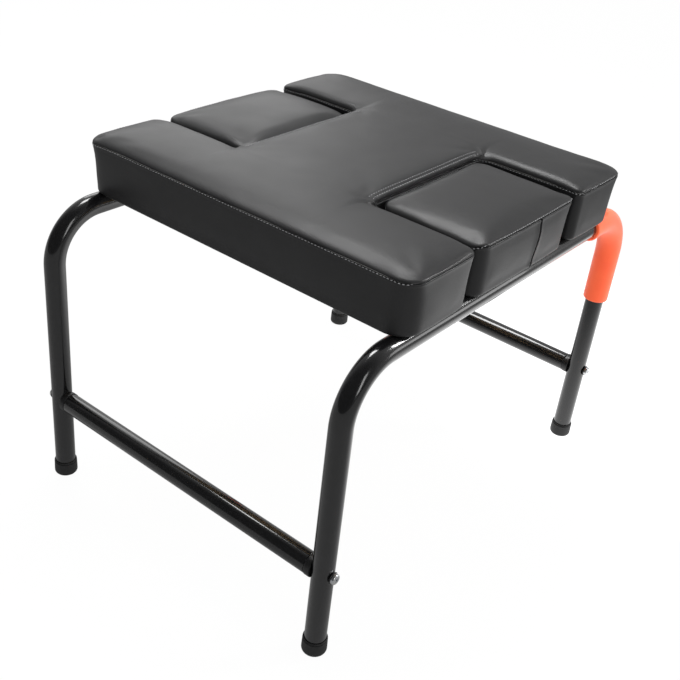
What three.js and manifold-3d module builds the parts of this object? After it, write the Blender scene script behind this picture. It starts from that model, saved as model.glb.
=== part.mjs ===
// A yoga headstand stool: two bent tube frames, two crossbars and a padded seat.
// The seat is an H-shaped pad, and two loose insert pads fill its side notches.
// Units are millimetres and +Z is up. The origin is on the floor, below the middle of the seat.
// +X points to the right frame, and +Y to the end of the frames that has the hand grips.

import * as THREE from 'three';
import { mergeVertices } from 'three/addons/utils/BufferGeometryUtils.js';
import Module from 'manifold-3d';

const wasm = await Module();
wasm.setup();

// Gap between pieces that touch, and how far a cutting tool runs past a face
const touchGap = 0.3;
const overrun = 4;

// Bent tube frames: each is one tube with two legs and a top rail, and its bends have round centre lines
const tubeDiameter = 25;
const tubeWall = 1.5;
const frameSpacing = 430;
const legSpacing = 574;
const railHeight = 365.5;
const bendRadius = 62;
const crossbarHeight = 117;

// Rubber feet: a cup round the end of each leg, with a thin lip and a rounded bottom edge
const footDiameter = 29;
const footLipDiameter = 28.2;
const footHeight = 21;
const footLipHeight = 2.4;
const footLipStep = 0.5;
const footFloor = 5;
const footEdgeRadius = 4;

// Crossbar ends: a saddle sits between the tube end and the leg, and a threaded insert fills the tube end
const saddleDiameter = 26;
const saddleLength = 8;
const saddleReach = 10;
const saddleEdgeRadius = 1.5;
const insertDepth = 20;

// Machine screws through the legs and the top rails
const screwDiameter = 6;
const screwClearance = 0.4;
const screwHeadDiameter = 12.5;
const screwHeadHeight = 4;
const recessWidth = 1.6;
const recessLength = 6.5;
const recessDepth = 2.2;
const crossbarScrewBite = 16;
const washerDiameter = 14;
const washerThickness = 1.2;

// Rubber hand grips round the rear bend of each frame
const gripWall = 3.7;
const gripRailLength = 29;
const gripLegLength = 71;

// H-shaped main pad: overhang past the rails, setback from the legs, notches and corner radii
const padOverhang = 16;
const padSetback = 63;
const notchWidth = 226;
const bridgeWidth = 188;
const padCornerRadius = 22;
const notchMouthRadius = 12;
const notchRootRadius = 9;
const padSeamHeight = 61.5;
const crownHeight = 10;
const crownReach = 38;
const rollReach = 13;
const sideDrawIn = 2.2;
const baseRound = 2;
const boardThickness = 12;
const coverThickness = 1.2;
const hemWidth = 30;

// Insert pads: gaps in the notch, how much lower they stand, and their corner radius
const insertSideGap = 13;
const insertInnerGap = 4.5;
const insertDrop = 2;
const insertCornerRadius = 11;

// Screws and flanged nuts that hold the main pad on the rails. Each screw head sits inside the rail,
// and a wider access hole below it lets the screw in.
const accessHoleDiameter = 13.5;
const nutFlangeDiameter = 18;
const nutFlangeThickness = 1.5;
const nutBarrelDiameter = 9;
const nutLength = 9.5;
const padScrewShortfall = 1.5;

// Two flat straps under the bridge: they carry the inner edges of the inserts and hold their pins
const strapSpacing = 120;
const strapWidth = 30;
const strapThickness = 3;
const strapReach = 27;
const strapScrewInset = 46;
const strapScrewDiameter = 4;
const strapScrewHeadDiameter = 8;
const strapScrewHeadHeight = 2.6;
const strapScrewLength = 12;
const strapScrewTip = 3;
const pinDiameter = 8;
const pinInset = 13;
const pinClearance = 0.5;
const pinDrop = 12;
const pinSeat = 9;

// Side view of a pad, as shares of the height of its side and of the reach of its crown
const sideHeightShares = [0.06, 0.35, 0.7, 1];
const crownReachShares = [0.12, 0.35, 0.65, 1];
const crownPower = 2.3;

// The round rim of a screw head as a share of its height, and the chamfer of a pin as one of its radius
const headRimShare = 0.5;
const pinChamferShare = 0.25;

// How finely round shapes are cut into flat facets
const tubeSides = 18;
const boreSides = 12;
const bendSteps = 6;
const cornerSteps = 3;
const edgeSteps = 2;
const screwSides = 12;

// Places worked out from the sizes above
const tubeRadius = tubeDiameter / 2;
const boreRadius = tubeRadius - tubeWall;
const frameX = frameSpacing / 2;
const legY = legSpacing / 2;
const bendCentreY = legY - bendRadius;
const bendCentreZ = railHeight - bendRadius;
const railTop = railHeight + tubeRadius;
const railBottom = railHeight - tubeRadius;
const padX = frameX + padOverhang;
const padY = legY - padSetback;
const notchY = notchWidth / 2;
const bridgeX = bridgeWidth / 2;
const barMiddleY = (padY + notchY) / 2;
const padBase = railTop + touchGap;
const boardBase = padBase + coverThickness + touchGap;
const boardTop = boardBase + boardThickness;
const boardInset = sideDrawIn + baseRound + coverThickness + touchGap;
const insertInnerX = bridgeX + insertInnerGap;
const insertY = notchY - insertSideGap;
const pinX = insertInnerX + pinInset;
const strapY = strapSpacing / 2;

// Finishes
const blackPaint = new THREE.MeshStandardMaterial({ color: '#161617', roughness: 0.22, metalness: 0.1 });
const blackRubber = new THREE.MeshStandardMaterial({ color: '#232324', roughness: 0.75, metalness: 0 });
const orangeRubber = new THREE.MeshStandardMaterial({ color: '#f2603c', roughness: 0.6, metalness: 0 });
const blackPlastic = new THREE.MeshStandardMaterial({ color: '#1b1b1c', roughness: 0.5, metalness: 0 });
const blackVinyl = new THREE.MeshStandardMaterial({ color: '#2a2a2b', roughness: 0.5, metalness: 0 });
const greyFoam = new THREE.MeshStandardMaterial({ color: '#8b8b88', roughness: 0.95, metalness: 0 });
const birchPly = new THREE.MeshStandardMaterial({ color: '#b99a6b', roughness: 0.8, metalness: 0 });
const beech = new THREE.MeshStandardMaterial({ color: '#c29466', roughness: 0.7, metalness: 0 });
const brightZinc = new THREE.MeshStandardMaterial({ color: '#c9ccd0', roughness: 0.3, metalness: 1 });

const stool = new THREE.Group();

// Helpers for solids

// Keeps only the positions, shares equal corners and drops triangles with no area
function sharedCorners(geometry) {
  const bare = geometry.clone();
  bare.deleteAttribute('normal');
  bare.deleteAttribute('uv');
  const merged = mergeVertices(bare);
  const kept = [];
  const index = merged.index.array;
  for (let i = 0; i < index.length; i += 3) {
    const [a, b, c] = [index[i], index[i + 1], index[i + 2]];
    if (a !== b && b !== c && c !== a) kept.push(a, b, c);
  }
  merged.setIndex(kept);
  return merged;
}

function toSolid(geometry) {
  const shared = sharedCorners(geometry);
  const vertProperties = new Float32Array(shared.attributes.position.array);
  const triVerts = new Uint32Array(shared.index.array);
  return new wasm.Manifold(new wasm.Mesh({ numProp: 3, vertProperties, triVerts }));
}

function toGeometry(solid) {
  const mesh = solid.getMesh();
  const geometry = new THREE.BufferGeometry();
  geometry.setAttribute('position', new THREE.BufferAttribute(mesh.vertProperties, 3));
  geometry.setIndex(new THREE.BufferAttribute(mesh.triVerts, 1));
  geometry.computeVertexNormals();
  return geometry;
}

function cut(geometry, tools) {
  const solid = tools.reduce((left, tool) => left.subtract(toSolid(tool)), toSolid(geometry));
  return toGeometry(solid);
}

// A round bar along Z, from low to high
function barAlongZ(radius, low, high, sides = boreSides) {
  const bar = new THREE.CylinderGeometry(radius, radius, high - low, sides);
  return bar.rotateX(Math.PI / 2).translate(0, 0, (low + high) / 2);
}

// A turned solid about Z, from a closed half section of [radius, height] points
function turned(section, sides) {
  const points = section.map(([radius, height]) => new THREE.Vector2(radius, height));
  return sharedCorners(new THREE.LatheGeometry(points, sides).rotateX(Math.PI / 2));
}

// Points of a quarter round in a half section, about a centre, from one angle to another
function quarterRound(centreRadius, centreHeight, radius, fromAngle, toAngle) {
  const points = [];
  for (let i = 0; i <= edgeSteps; i += 1) {
    const angle = fromAngle + (toAngle - fromAngle) * (i / edgeSteps);
    points.push([centreRadius + radius * Math.cos(angle), centreHeight + radius * Math.sin(angle)]);
  }
  return points;
}

function ringShape(outerRadius, innerRadius) {
  const shape = new THREE.Shape().absarc(0, 0, outerRadius, 0, 2 * Math.PI);
  shape.holes.push(new THREE.Path().absarc(0, 0, innerRadius, 0, 2 * Math.PI, true));
  return shape;
}

function addPiece(name, geometry, material, parent = stool) {
  const mesh = new THREE.Mesh(geometry, material);
  mesh.name = name;
  parent.add(mesh);
  return mesh;
}

// The four corners of the stool, by name and by the side of X and Y that they lie on
const corners = [
  { name: 'front_right', sideX: 1, sideY: -1 },
  { name: 'front_left', sideX: -1, sideY: -1 },
  { name: 'rear_right', sideX: 1, sideY: 1 },
  { name: 'rear_left', sideX: -1, sideY: 1 },
];
const sides = [
  { name: 'right', sideX: 1 },
  { name: 'left', sideX: -1 },
];
const ends = [
  { name: 'front', sideY: -1 },
  { name: 'rear', sideY: 1 },
];

// Bent tubes

// The centre line of a bent tube, in the YZ plane. A ring of the tube is made at each station only,
// so a straight run has one ring at each end and a bend has several.
class TubeLine extends THREE.Curve {
  constructor(stations) {
    super();
    this.stations = stations;
  }

  getUtoTmapping(u) {
    return u;
  }

  stationAt(t) {
    return this.stations[Math.round(t * (this.stations.length - 1))];
  }

  getPoint(t, target = new THREE.Vector3()) {
    const { y, z } = this.stationAt(t);
    return target.set(0, y, z);
  }

  getTangent(t, target = new THREE.Vector3()) {
    const { heading } = this.stationAt(t);
    return target.set(0, Math.cos(heading), Math.sin(heading));
  }
}

// Stations round a bend of the frame. heading is the direction of travel, up from the +Y axis.
function bendStations(centreY, headingIn, headingOut) {
  const stations = [];
  for (let i = 0; i <= bendSteps; i += 1) {
    const heading = headingIn + (headingOut - headingIn) * (i / bendSteps);
    const y = centreY - bendRadius * Math.sin(heading);
    const z = bendCentreZ + bendRadius * Math.cos(heading);
    stations.push({ y, z, heading });
  }
  return stations;
}

// A hollow round bar, straight by its depth or along a path
function hollowBar(outerRadius, innerRadius, options) {
  return new THREE.ExtrudeGeometry(ringShape(outerRadius, innerRadius), {
    bevelEnabled: false,
    curveSegments: tubeSides / 2,
    ...options,
  });
}

function bentTube(stations, outerRadius, innerRadius) {
  const extrudePath = new TubeLine(stations);
  return hollowBar(outerRadius, innerRadius, { steps: stations.length - 1, extrudePath });
}

const up = Math.PI / 2;
const down = -Math.PI / 2;
const tubeEnd = footFloor + touchGap;
const screwHoleRadius = screwDiameter / 2 + screwClearance;

function frameGeometry() {
  const stations = [
    { y: -legY, z: tubeEnd, heading: up },
    ...bendStations(-bendCentreY, up, 0),
    ...bendStations(bendCentreY, 0, down),
    { y: legY, z: tubeEnd, heading: down },
  ];
  const tube = bentTube(stations, tubeRadius, boreRadius);
  const across = tubeRadius + overrun;
  const holes = ends.flatMap(({ sideY }) => [
    barAlongZ(screwHoleRadius, -across, across)
      .rotateY(Math.PI / 2)
      .translate(0, sideY * legY, crossbarHeight),
    barAlongZ(screwHoleRadius, railHeight, railTop + overrun)
      .translate(0, sideY * barMiddleY, 0),
    barAlongZ(accessHoleDiameter / 2, railBottom - overrun, railHeight)
      .translate(0, sideY * barMiddleY, 0),
  ]);
  return cut(tube, holes);
}

for (const { name, sideX } of sides) {
  const frame = addPiece(`frame_${name}`, frameGeometry(), blackPaint);
  frame.position.x = sideX * frameX;
}

// Hand grips: a sleeve from the end of the rail, round the rear bend and down the leg.
// Its top is cut away under the pad, which rests on the tube itself.
function gripGeometry() {
  const stations = [
    { y: bendCentreY - gripRailLength, z: railHeight, heading: 0 },
    ...bendStations(bendCentreY, 0, down),
    { y: legY, z: bendCentreZ - gripLegLength, heading: down },
  ];
  const innerRadius = tubeRadius + touchGap;
  const outerRadius = innerRadius + gripWall;
  const sleeve = bentTube(stations, outerRadius, innerRadius);
  const relief = new THREE.BoxGeometry(2 * (outerRadius + overrun), 2 * padY, outerRadius);
  relief.translate(0, touchGap, railTop + outerRadius / 2);
  return cut(sleeve, [relief]);
}

for (const { name, sideX } of sides) {
  const grip = addPiece(`grip_${name}`, gripGeometry(), orangeRubber);
  grip.position.x = sideX * frameX;
}

// Rubber feet
function footGeometry() {
  const radius = footDiameter / 2;
  const lipRadius = footLipDiameter / 2;
  const socketRadius = tubeRadius + touchGap;
  const lipBase = footHeight - footLipHeight;
  return turned([
    [0, 0],
    ...quarterRound(radius - footEdgeRadius, footEdgeRadius, footEdgeRadius, down, 0),
    [lipRadius - footLipStep, lipBase],
    [lipRadius, lipBase + footLipStep],
    [lipRadius, footHeight - footLipStep],
    [lipRadius - footLipStep, footHeight],
    [socketRadius, footHeight],
    [socketRadius, footFloor],
    [0, footFloor],
  ], tubeSides);
}

for (const { name, sideX, sideY } of corners) {
  const foot = addPiece(`foot_${name}`, footGeometry(), blackRubber);
  foot.position.set(sideX * frameX, sideY * legY, 0);
}

// Machine and wood screws, along Z with the head's underside at zero and the shank below it
function screwGeometry({ shank, head, headHeight, length, tip = 0 }) {
  const shankRadius = shank / 2;
  const headRadius = head / 2;
  const rim = headHeight * headRimShare;
  return turned([
    [0, -length],
    [shankRadius, tip - length],
    [shankRadius, 0],
    [headRadius, 0],
    ...quarterRound(headRadius - rim, headHeight - rim, rim, 0, up),
    [0, headHeight],
  ], screwSides);
}

// The cross recess in the head of a screw, as two slots
function withRecess(screw, headHeight) {
  const depth = recessDepth + overrun;
  const slots = [0, Math.PI / 2].map((turn) => new THREE.BoxGeometry(recessLength, recessWidth, depth)
    .rotateZ(turn)
    .translate(0, 0, headHeight - recessDepth + depth / 2));
  return cut(screw, slots);
}

// Crossbars, with the parts that join each end to its leg

// Distances along X from the centre of a leg, towards the middle of the stool
const barEnd = saddleReach + saddleLength + touchGap;
const barLength = frameSpacing - 2 * barEnd;

for (const { name, sideY } of ends) {
  const tube = hollowBar(tubeRadius, boreRadius, { depth: barLength });
  tube.translate(0, 0, -barLength / 2).rotateY(Math.PI / 2);
  const bar = addPiece(`crossbar_${name}`, tube, blackPaint);
  bar.position.set(0, sideY * legY, crossbarHeight);
}

// The saddle's cupped end fits the leg, and its flat end meets the tube
function saddleGeometry() {
  const radius = saddleDiameter / 2;
  const edge = saddleEdgeRadius;
  const block = turned([
    [0, 0],
    ...quarterRound(radius - edge, edge, edge, down, 0),
    ...quarterRound(radius - edge, saddleLength - edge, edge, 0, up),
    [0, saddleLength],
  ], tubeSides);
  const leg = barAlongZ(tubeRadius + touchGap, -saddleDiameter, saddleDiameter, tubeSides)
    .rotateY(Math.PI / 2)
    .translate(0, 0, -saddleReach);
  return cut(block, [leg, barAlongZ(screwHoleRadius, -overrun, saddleLength + overrun)]);
}

function threadedInsertGeometry() {
  const plug = barAlongZ(boreRadius - touchGap, 0, insertDepth, tubeSides);
  const threadRadius = screwDiameter / 2 + touchGap;
  return cut(plug, [barAlongZ(threadRadius, -overrun, insertDepth + overrun)]);
}

function washerGeometry() {
  const disc = barAlongZ(washerDiameter / 2, 0, washerThickness, screwSides);
  return cut(disc, [barAlongZ(screwHoleRadius, -overrun, washerThickness + overrun)]);
}

const washerSeat = tubeRadius + touchGap;
const headSeat = washerSeat + washerThickness + touchGap;
const crossbarScrewLength = headSeat + barEnd + crossbarScrewBite;

for (const { name, sideX, sideY } of corners) {
  // Local Z of this group points from the leg to the middle of the stool
  const joint = new THREE.Group();
  joint.position.set(sideX * frameX, sideY * legY, crossbarHeight);
  joint.rotation.y = (-sideX * Math.PI) / 2;
  stool.add(joint);
  addPiece(`saddle_${name}`, saddleGeometry(), blackPlastic, joint).position.z = saddleReach;
  addPiece(`threaded_insert_${name}`, threadedInsertGeometry(), brightZinc, joint).position.z = barEnd;
  const washer = addPiece(`crossbar_washer_${name}`, washerGeometry(), blackPlastic, joint);
  washer.position.z = -headSeat + touchGap;
  const screw = screwGeometry({
    shank: screwDiameter, head: screwHeadDiameter, headHeight: screwHeadHeight, length: crossbarScrewLength,
  });
  const placed = addPiece(`crossbar_screw_${name}`, withRecess(screw, screwHeadHeight), brightZinc, joint);
  placed.position.z = -headSeat;
  placed.rotation.x = Math.PI;
}

// Pads

// One closed row of points round an outline with square turns, counter-clockwise. Each corner is an arc.
// The row moves inward by insetX where the outline faces along X, and by insetY where it faces along Y.
function outlineRow(outline, insetX, insetY = insetX) {
  const insetAlong = (normal) => Math.abs(normal.x) * insetX + Math.abs(normal.y) * insetY;
  return outline.flatMap((corner, i) => {
    const before = outline.at(i - 1).at;
    const after = outline[(i + 1) % outline.length].at;
    const into = corner.at.clone().sub(before).normalize();
    const out = after.clone().sub(corner.at).normalize();
    const inwardFirst = new THREE.Vector2(-into.y, into.x);
    const inwardLast = new THREE.Vector2(-out.y, out.x);
    const turn = Math.sign(into.cross(out));
    const radius = Math.max(corner.radius - (turn * (insetX + insetY)) / 2, touchGap);
    const centre = corner.at.clone()
      .addScaledVector(inwardFirst, insetAlong(inwardFirst) + turn * radius)
      .addScaledVector(inwardLast, insetAlong(inwardLast) + turn * radius);
    const row = [];
    for (let k = 0; k <= cornerSteps; k += 1) {
      const angle = (k / cornerSteps) * (Math.PI / 2);
      row.push(centre.clone()
        .addScaledVector(inwardFirst, -turn * radius * Math.cos(angle))
        .addScaledVector(inwardLast, -turn * radius * Math.sin(angle)));
    }
    return row;
  });
}

// A closed solid through rows of equal length, from the lowest to the highest
function loft(rows) {
  const count = rows[0].points.length;
  const positions = rows.flatMap(({ points, z }) => points.flatMap((p) => [p.x, p.y, z]));
  const index = [];
  for (let r = 0; r + 1 < rows.length; r += 1) {
    for (let i = 0; i < count; i += 1) {
      const a = r * count + i;
      const b = r * count + ((i + 1) % count);
      index.push(a, b, b + count, a, b + count, a + count);
    }
  }
  for (const r of [0, rows.length - 1]) {
    const { points } = rows[r];
    for (const face of THREE.ShapeUtils.triangulateShape(points, [])) {
      const [a, b, c] = face.map((k) => points[k]);
      const facesUp = b.clone().sub(a).cross(c.clone().sub(a)) > 0;
      const ordered = facesUp === (r > 0) ? face : [...face].reverse();
      index.push(...ordered.map((k) => r * count + k));
    }
  }
  const geometry = new THREE.BufferGeometry();
  geometry.setAttribute('position', new THREE.Float32BufferAttribute(positions, 3));
  geometry.setIndex(index);
  geometry.computeVertexNormals();
  return geometry;
}

// A padded block that lies skin inside the pad's outer face, from floor up. The side bulges between its
// base and its seam. Above the seam the crown climbs slowly from the faces along X, and rolls over
// tightly at the faces along Y.
function paddedBlock(pad, skin, floor) {
  const seam = padBase + pad.seamHeight;
  const rowAt = (z, insetX, insetY = insetX) => ({
    points: outlineRow(pad.outline, insetX + skin, insetY + skin),
    z,
  });
  const bulgeInset = (z) => sideDrawIn * ((2 * (z - padBase)) / (seam - padBase) - 1) ** 2;
  const rows = [rowAt(floor, sideDrawIn + baseRound)];
  for (const share of sideHeightShares) {
    const z = floor + (seam - skin - floor) * share;
    rows.push(rowAt(z, bulgeInset(z + skin * share)));
  }
  for (const share of crownReachShares) {
    const climb = 1 - (1 - share) ** crownPower;
    const roll = 1 - Math.sqrt(1 - climb ** 2);
    const z = seam - skin + crownHeight * climb;
    rows.push(rowAt(z, sideDrawIn + crownReach * share, sideDrawIn + rollReach * roll));
  }
  return loft(rows);
}

// The cover is a shell over the foam and the board, turned in under the board as a hem
function coverGeometry(pad, holes) {
  const outside = paddedBlock(pad, 0, padBase);
  const inside = paddedBlock(pad, coverThickness, padBase + coverThickness);
  const hemHole = loft([padBase - overrun, boardBase].map((z) => ({
    points: outlineRow(pad.outline, hemWidth),
    z,
  })));
  return cut(outside, [inside, hemHole, ...holes]);
}

function foamGeometry(pad) {
  return paddedBlock(pad, coverThickness + touchGap, boardTop + touchGap);
}

function boardGeometry(pad, holes) {
  const board = loft([boardBase, boardTop].map((z) => ({
    points: outlineRow(pad.outline, boardInset),
    z,
  })));
  return cut(board, holes);
}

const place = (x, y, radius) => ({ at: new THREE.Vector2(x, y), radius });

const mainPad = {
  seamHeight: padSeamHeight,
  outline: [
    place(-padX, -padY, padCornerRadius),
    place(padX, -padY, padCornerRadius),
    place(padX, -notchY, notchMouthRadius),
    place(bridgeX, -notchY, notchRootRadius),
    place(bridgeX, notchY, notchRootRadius),
    place(padX, notchY, notchMouthRadius),
    place(padX, padY, padCornerRadius),
    place(-padX, padY, padCornerRadius),
    place(-padX, notchY, notchMouthRadius),
    place(-bridgeX, notchY, notchRootRadius),
    place(-bridgeX, -notchY, notchRootRadius),
    place(-padX, -notchY, notchMouthRadius),
  ],
};

const insertPad = {
  seamHeight: padSeamHeight - insertDrop,
  outline: [
    place(insertInnerX, -insertY, insertCornerRadius),
    place(padX, -insertY, insertCornerRadius),
    place(padX, insertY, insertCornerRadius),
    place(insertInnerX, insertY, insertCornerRadius),
  ],
};

// A flanged nut for the board: its flange lies in the top of the board, and its barrel goes down
function nutBody(grow) {
  const top = boardTop + grow;
  const flangeBase = boardTop - nutFlangeThickness - grow;
  const barrelBase = boardTop - nutLength - grow;
  return turned([
    [0, barrelBase],
    [nutBarrelDiameter / 2 + grow, barrelBase],
    [nutBarrelDiameter / 2 + grow, flangeBase],
    [nutFlangeDiameter / 2 + grow, flangeBase],
    [nutFlangeDiameter / 2 + grow, top],
    [0, top],
  ], screwSides);
}

// Upright holes at the given places
function uprightHoles(places, radius, low, high) {
  return places.map(({ x, y }) => barAlongZ(radius, low, high).translate(x, y, 0));
}

const padScrewPlaces = corners.map(({ sideX, sideY }) => ({ x: sideX * frameX, y: sideY * barMiddleY }));
const strapScrewX = bridgeX - strapScrewInset;
const strapScrewPlaces = corners.map(({ sideX, sideY }) => ({ x: sideX * strapScrewX, y: sideY * strapY }));
const strapScrewHole = strapScrewDiameter / 2 + touchGap;
const pinPlaces = ends.map(({ sideY }) => ({ x: pinX, y: sideY * strapY }));

// Main pad: plywood board, foam block and vinyl cover
addPiece('main_pad_board', boardGeometry(mainPad, [
  ...padScrewPlaces.map(({ x, y }) => nutBody(touchGap).translate(x, y, 0)),
  ...uprightHoles(padScrewPlaces, screwHoleRadius, boardBase - overrun, boardTop),
  ...uprightHoles(strapScrewPlaces, strapScrewHole, boardBase - overrun, boardTop - touchGap),
]), birchPly);
addPiece('main_pad_foam', foamGeometry(mainPad), greyFoam);
addPiece('main_pad_cover', coverGeometry(
  mainPad,
  uprightHoles(padScrewPlaces, screwHoleRadius, padBase - overrun, boardBase),
), blackVinyl);

// Screws from inside each rail into flanged nuts in the board. The rim of a head meets the upper wall.
const padScrewHead = railHeight + Math.sqrt(boreRadius ** 2 - (screwHeadDiameter / 2) ** 2) - touchGap;
const padScrewLength = boardTop - padScrewShortfall - padScrewHead;

corners.forEach(({ name }, i) => {
  const { x, y } = padScrewPlaces[i];
  const screw = screwGeometry({
    shank: screwDiameter, head: screwHeadDiameter, headHeight: screwHeadHeight, length: padScrewLength,
  });
  const placed = addPiece(`pad_screw_${name}`, screw, brightZinc);
  placed.position.set(x, y, padScrewHead);
  placed.rotation.x = Math.PI;
  const bore = barAlongZ(screwDiameter / 2 + touchGap, boardBase, boardTop + overrun);
  addPiece(`pad_nut_${name}`, cut(nutBody(0), [bore]), brightZinc).position.set(x, y, 0);
});

// Support straps, screwed up into the board on both sides of the bridge's middle
const strapX = insertInnerX + strapReach;
const strapBase = railTop - strapThickness;

for (const { name, sideY } of ends) {
  const blank = new THREE.BoxGeometry(2 * strapX, strapWidth, strapThickness)
    .translate(0, 0, strapBase + strapThickness / 2);
  const low = strapBase - overrun;
  const high = railTop + overrun;
  const holes = sides.flatMap(({ sideX }) => [
    barAlongZ(pinDiameter / 2 + pinClearance, low, high).translate(sideX * pinX, 0, 0),
    barAlongZ(strapScrewHole, low, high).translate(sideX * strapScrewX, 0, 0),
  ]);
  addPiece(`support_strap_${name}`, cut(blank, holes), blackPaint).position.y = sideY * strapY;
}

corners.forEach(({ name }, i) => {
  const { x, y } = strapScrewPlaces[i];
  const screw = screwGeometry({
    shank: strapScrewDiameter,
    head: strapScrewHeadDiameter,
    headHeight: strapScrewHeadHeight,
    length: strapScrewLength,
    tip: strapScrewTip,
  });
  const placed = addPiece(`strap_screw_${name}`, screw, brightZinc);
  placed.position.set(x, y, strapBase - touchGap);
  placed.rotation.x = Math.PI;
});

// Insert pads: each has its own board, foam and cover, and two pins that drop into the straps
function pinGeometry() {
  const low = padBase - pinDrop;
  const high = boardBase + pinSeat;
  const radius = pinDiameter / 2;
  const chamfer = radius * pinChamferShare;
  return turned([
    [0, low],
    [radius - chamfer, low],
    [radius, low + chamfer],
    [radius, high],
    [0, high],
  ], boreSides);
}

for (const { name, sideX } of sides) {
  const insert = new THREE.Group();
  insert.rotation.z = sideX > 0 ? 0 : Math.PI;
  stool.add(insert);
  const pinHole = pinDiameter / 2 + touchGap;
  const boardHoles = uprightHoles(pinPlaces, pinHole, boardBase - overrun, boardBase + pinSeat + touchGap);
  const hemHoles = uprightHoles(pinPlaces, pinHole, padBase - overrun, boardBase);
  addPiece(`insert_${name}_board`, boardGeometry(insertPad, boardHoles), birchPly, insert);
  addPiece(`insert_${name}_foam`, foamGeometry(insertPad), greyFoam, insert);
  addPiece(`insert_${name}_cover`, coverGeometry(insertPad, hemHoles), blackVinyl, insert);
  pinPlaces.forEach(({ x, y }, i) => {
    const end = sideX > 0 ? ends[i] : ends[1 - i];
    addPiece(`insert_${name}_pin_${end.name}`, pinGeometry(), beech, insert).position.set(x, y, 0);
  });
}

export default stool;
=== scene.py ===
# %% [markdown]
# # A yoga headstand stool
# Two bent steel tubes carry an H-shaped padded seat, and two loose insert pads fill its side notches.
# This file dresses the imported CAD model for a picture. The CAD model stays as the fixed frame: every
# piece made here stands where its CAD node stands and moves with the same body.

# %% Load the frame
import math

import bmesh
import bpy
import numpy as np
from mathutils import Matrix, Vector, kdtree, noise


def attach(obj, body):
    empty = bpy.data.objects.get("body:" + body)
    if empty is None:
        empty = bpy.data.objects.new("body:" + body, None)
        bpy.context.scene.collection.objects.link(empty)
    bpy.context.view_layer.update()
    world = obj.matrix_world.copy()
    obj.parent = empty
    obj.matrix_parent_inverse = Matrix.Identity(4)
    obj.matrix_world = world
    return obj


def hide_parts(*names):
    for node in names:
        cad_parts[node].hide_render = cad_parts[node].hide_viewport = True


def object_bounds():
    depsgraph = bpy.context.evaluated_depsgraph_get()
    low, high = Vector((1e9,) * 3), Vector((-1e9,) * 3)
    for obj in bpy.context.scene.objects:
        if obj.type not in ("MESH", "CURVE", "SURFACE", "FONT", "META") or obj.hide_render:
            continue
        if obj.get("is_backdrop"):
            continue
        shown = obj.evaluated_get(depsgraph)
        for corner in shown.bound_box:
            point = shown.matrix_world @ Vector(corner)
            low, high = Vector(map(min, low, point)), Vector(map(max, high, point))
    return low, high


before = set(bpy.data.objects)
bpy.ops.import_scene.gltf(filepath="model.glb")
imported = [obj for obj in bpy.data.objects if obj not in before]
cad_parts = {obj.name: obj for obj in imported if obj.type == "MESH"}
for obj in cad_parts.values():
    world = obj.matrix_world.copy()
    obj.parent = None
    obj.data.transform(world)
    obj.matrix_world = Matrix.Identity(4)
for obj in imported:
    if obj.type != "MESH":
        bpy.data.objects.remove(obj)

cad_low, cad_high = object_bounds()
print("CAD box in metres:", [round(v, 4) for v in (*cad_low, *cad_high)])

# %% [markdown]
# ## Units and the shared sizes
# Blender counts in metres, but a maker thinks in millimetres. All sizes below are in millimetres, and
# one number turns them into metres when a mesh is made. The sizes repeat those of the CAD source, so
# each piece lands on its node.

# %% Sizes in millimetres
MM = 0.001

TUBE_RADIUS = 12.5
BORE_RADIUS = 11.0
FRAME_X = 215.0
LEG_Y = 287.0
RAIL_Z = 365.5
BEND_RADIUS = 62.0
TUBE_END_Z = 5.3
CROSSBAR_Z = 117.0
RAIL_TOP = RAIL_Z + TUBE_RADIUS
GAP = 0.3

SIDES = {"right": 1, "left": -1}
ENDS = {"front": -1, "rear": 1}
CORNERS = {f"{end}_{side}": (x, y) for end, y in ENDS.items() for side, x in SIDES.items()}
print("corners of the stool:", list(CORNERS))

# %% [markdown]
# ## Helpers for meshes
# Almost every piece here is a grid of points that is bent into shape: a tube is a row of rings, a foot
# is a turned profile. Building the grid in numpy keeps the faces even and the edge loops clean, which a
# modelled primitive with many modifiers doesn't promise.

# %% Turn points and faces into a piece that rides on a CAD body
SHARP_DEGREES = 40
WELD = 1e-7


def finish_piece(piece, material, body, replaces=()):
    """Gives the piece its finish, attaches it to the body it moves with and hides the CAD nodes it stands
    for.
    """
    piece.data.materials.clear()
    piece.data.materials.append(material)
    piece.data.shade_smooth()
    piece.data.set_sharp_from_angle(angle=math.radians(SHARP_DEGREES))
    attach(piece, body)
    if replaces:
        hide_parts(*replaces)
    return piece


def make_mesh(name, points, faces):
    mesh = bpy.data.meshes.new(name)
    mesh.from_pydata((np.asarray(points, float) * MM).tolist(), [], [tuple(f) for f in faces])
    shape = bmesh.new()
    shape.from_mesh(mesh)
    bmesh.ops.remove_doubles(shape, verts=shape.verts, dist=WELD)
    bmesh.ops.recalc_face_normals(shape, faces=shape.faces)
    shape.to_mesh(mesh)
    shape.free()
    piece = bpy.data.objects.new(name, mesh)
    bpy.context.scene.collection.objects.link(piece)
    return piece


def apply_modifiers(piece):
    """Bakes the piece's modifiers into its mesh."""
    bpy.context.view_layer.update()
    shaped = piece.evaluated_get(bpy.context.evaluated_depsgraph_get())
    shaped = bpy.data.meshes.new_from_object(shaped)
    piece.modifiers.clear()
    piece.data = shaped
    return piece


def cut_away(piece, cutters):
    """Cuts other meshes out of the piece and then removes them."""
    for cutter in cutters:
        saw = piece.modifiers.new("saw", "BOOLEAN")
        saw.operation, saw.solver, saw.object = "DIFFERENCE", "EXACT", cutter
    apply_modifiers(piece)
    for cutter in cutters:
        bpy.data.objects.remove(cutter)
    return piece


print("edges of more than", SHARP_DEGREES, "degrees stay sharp")


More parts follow.
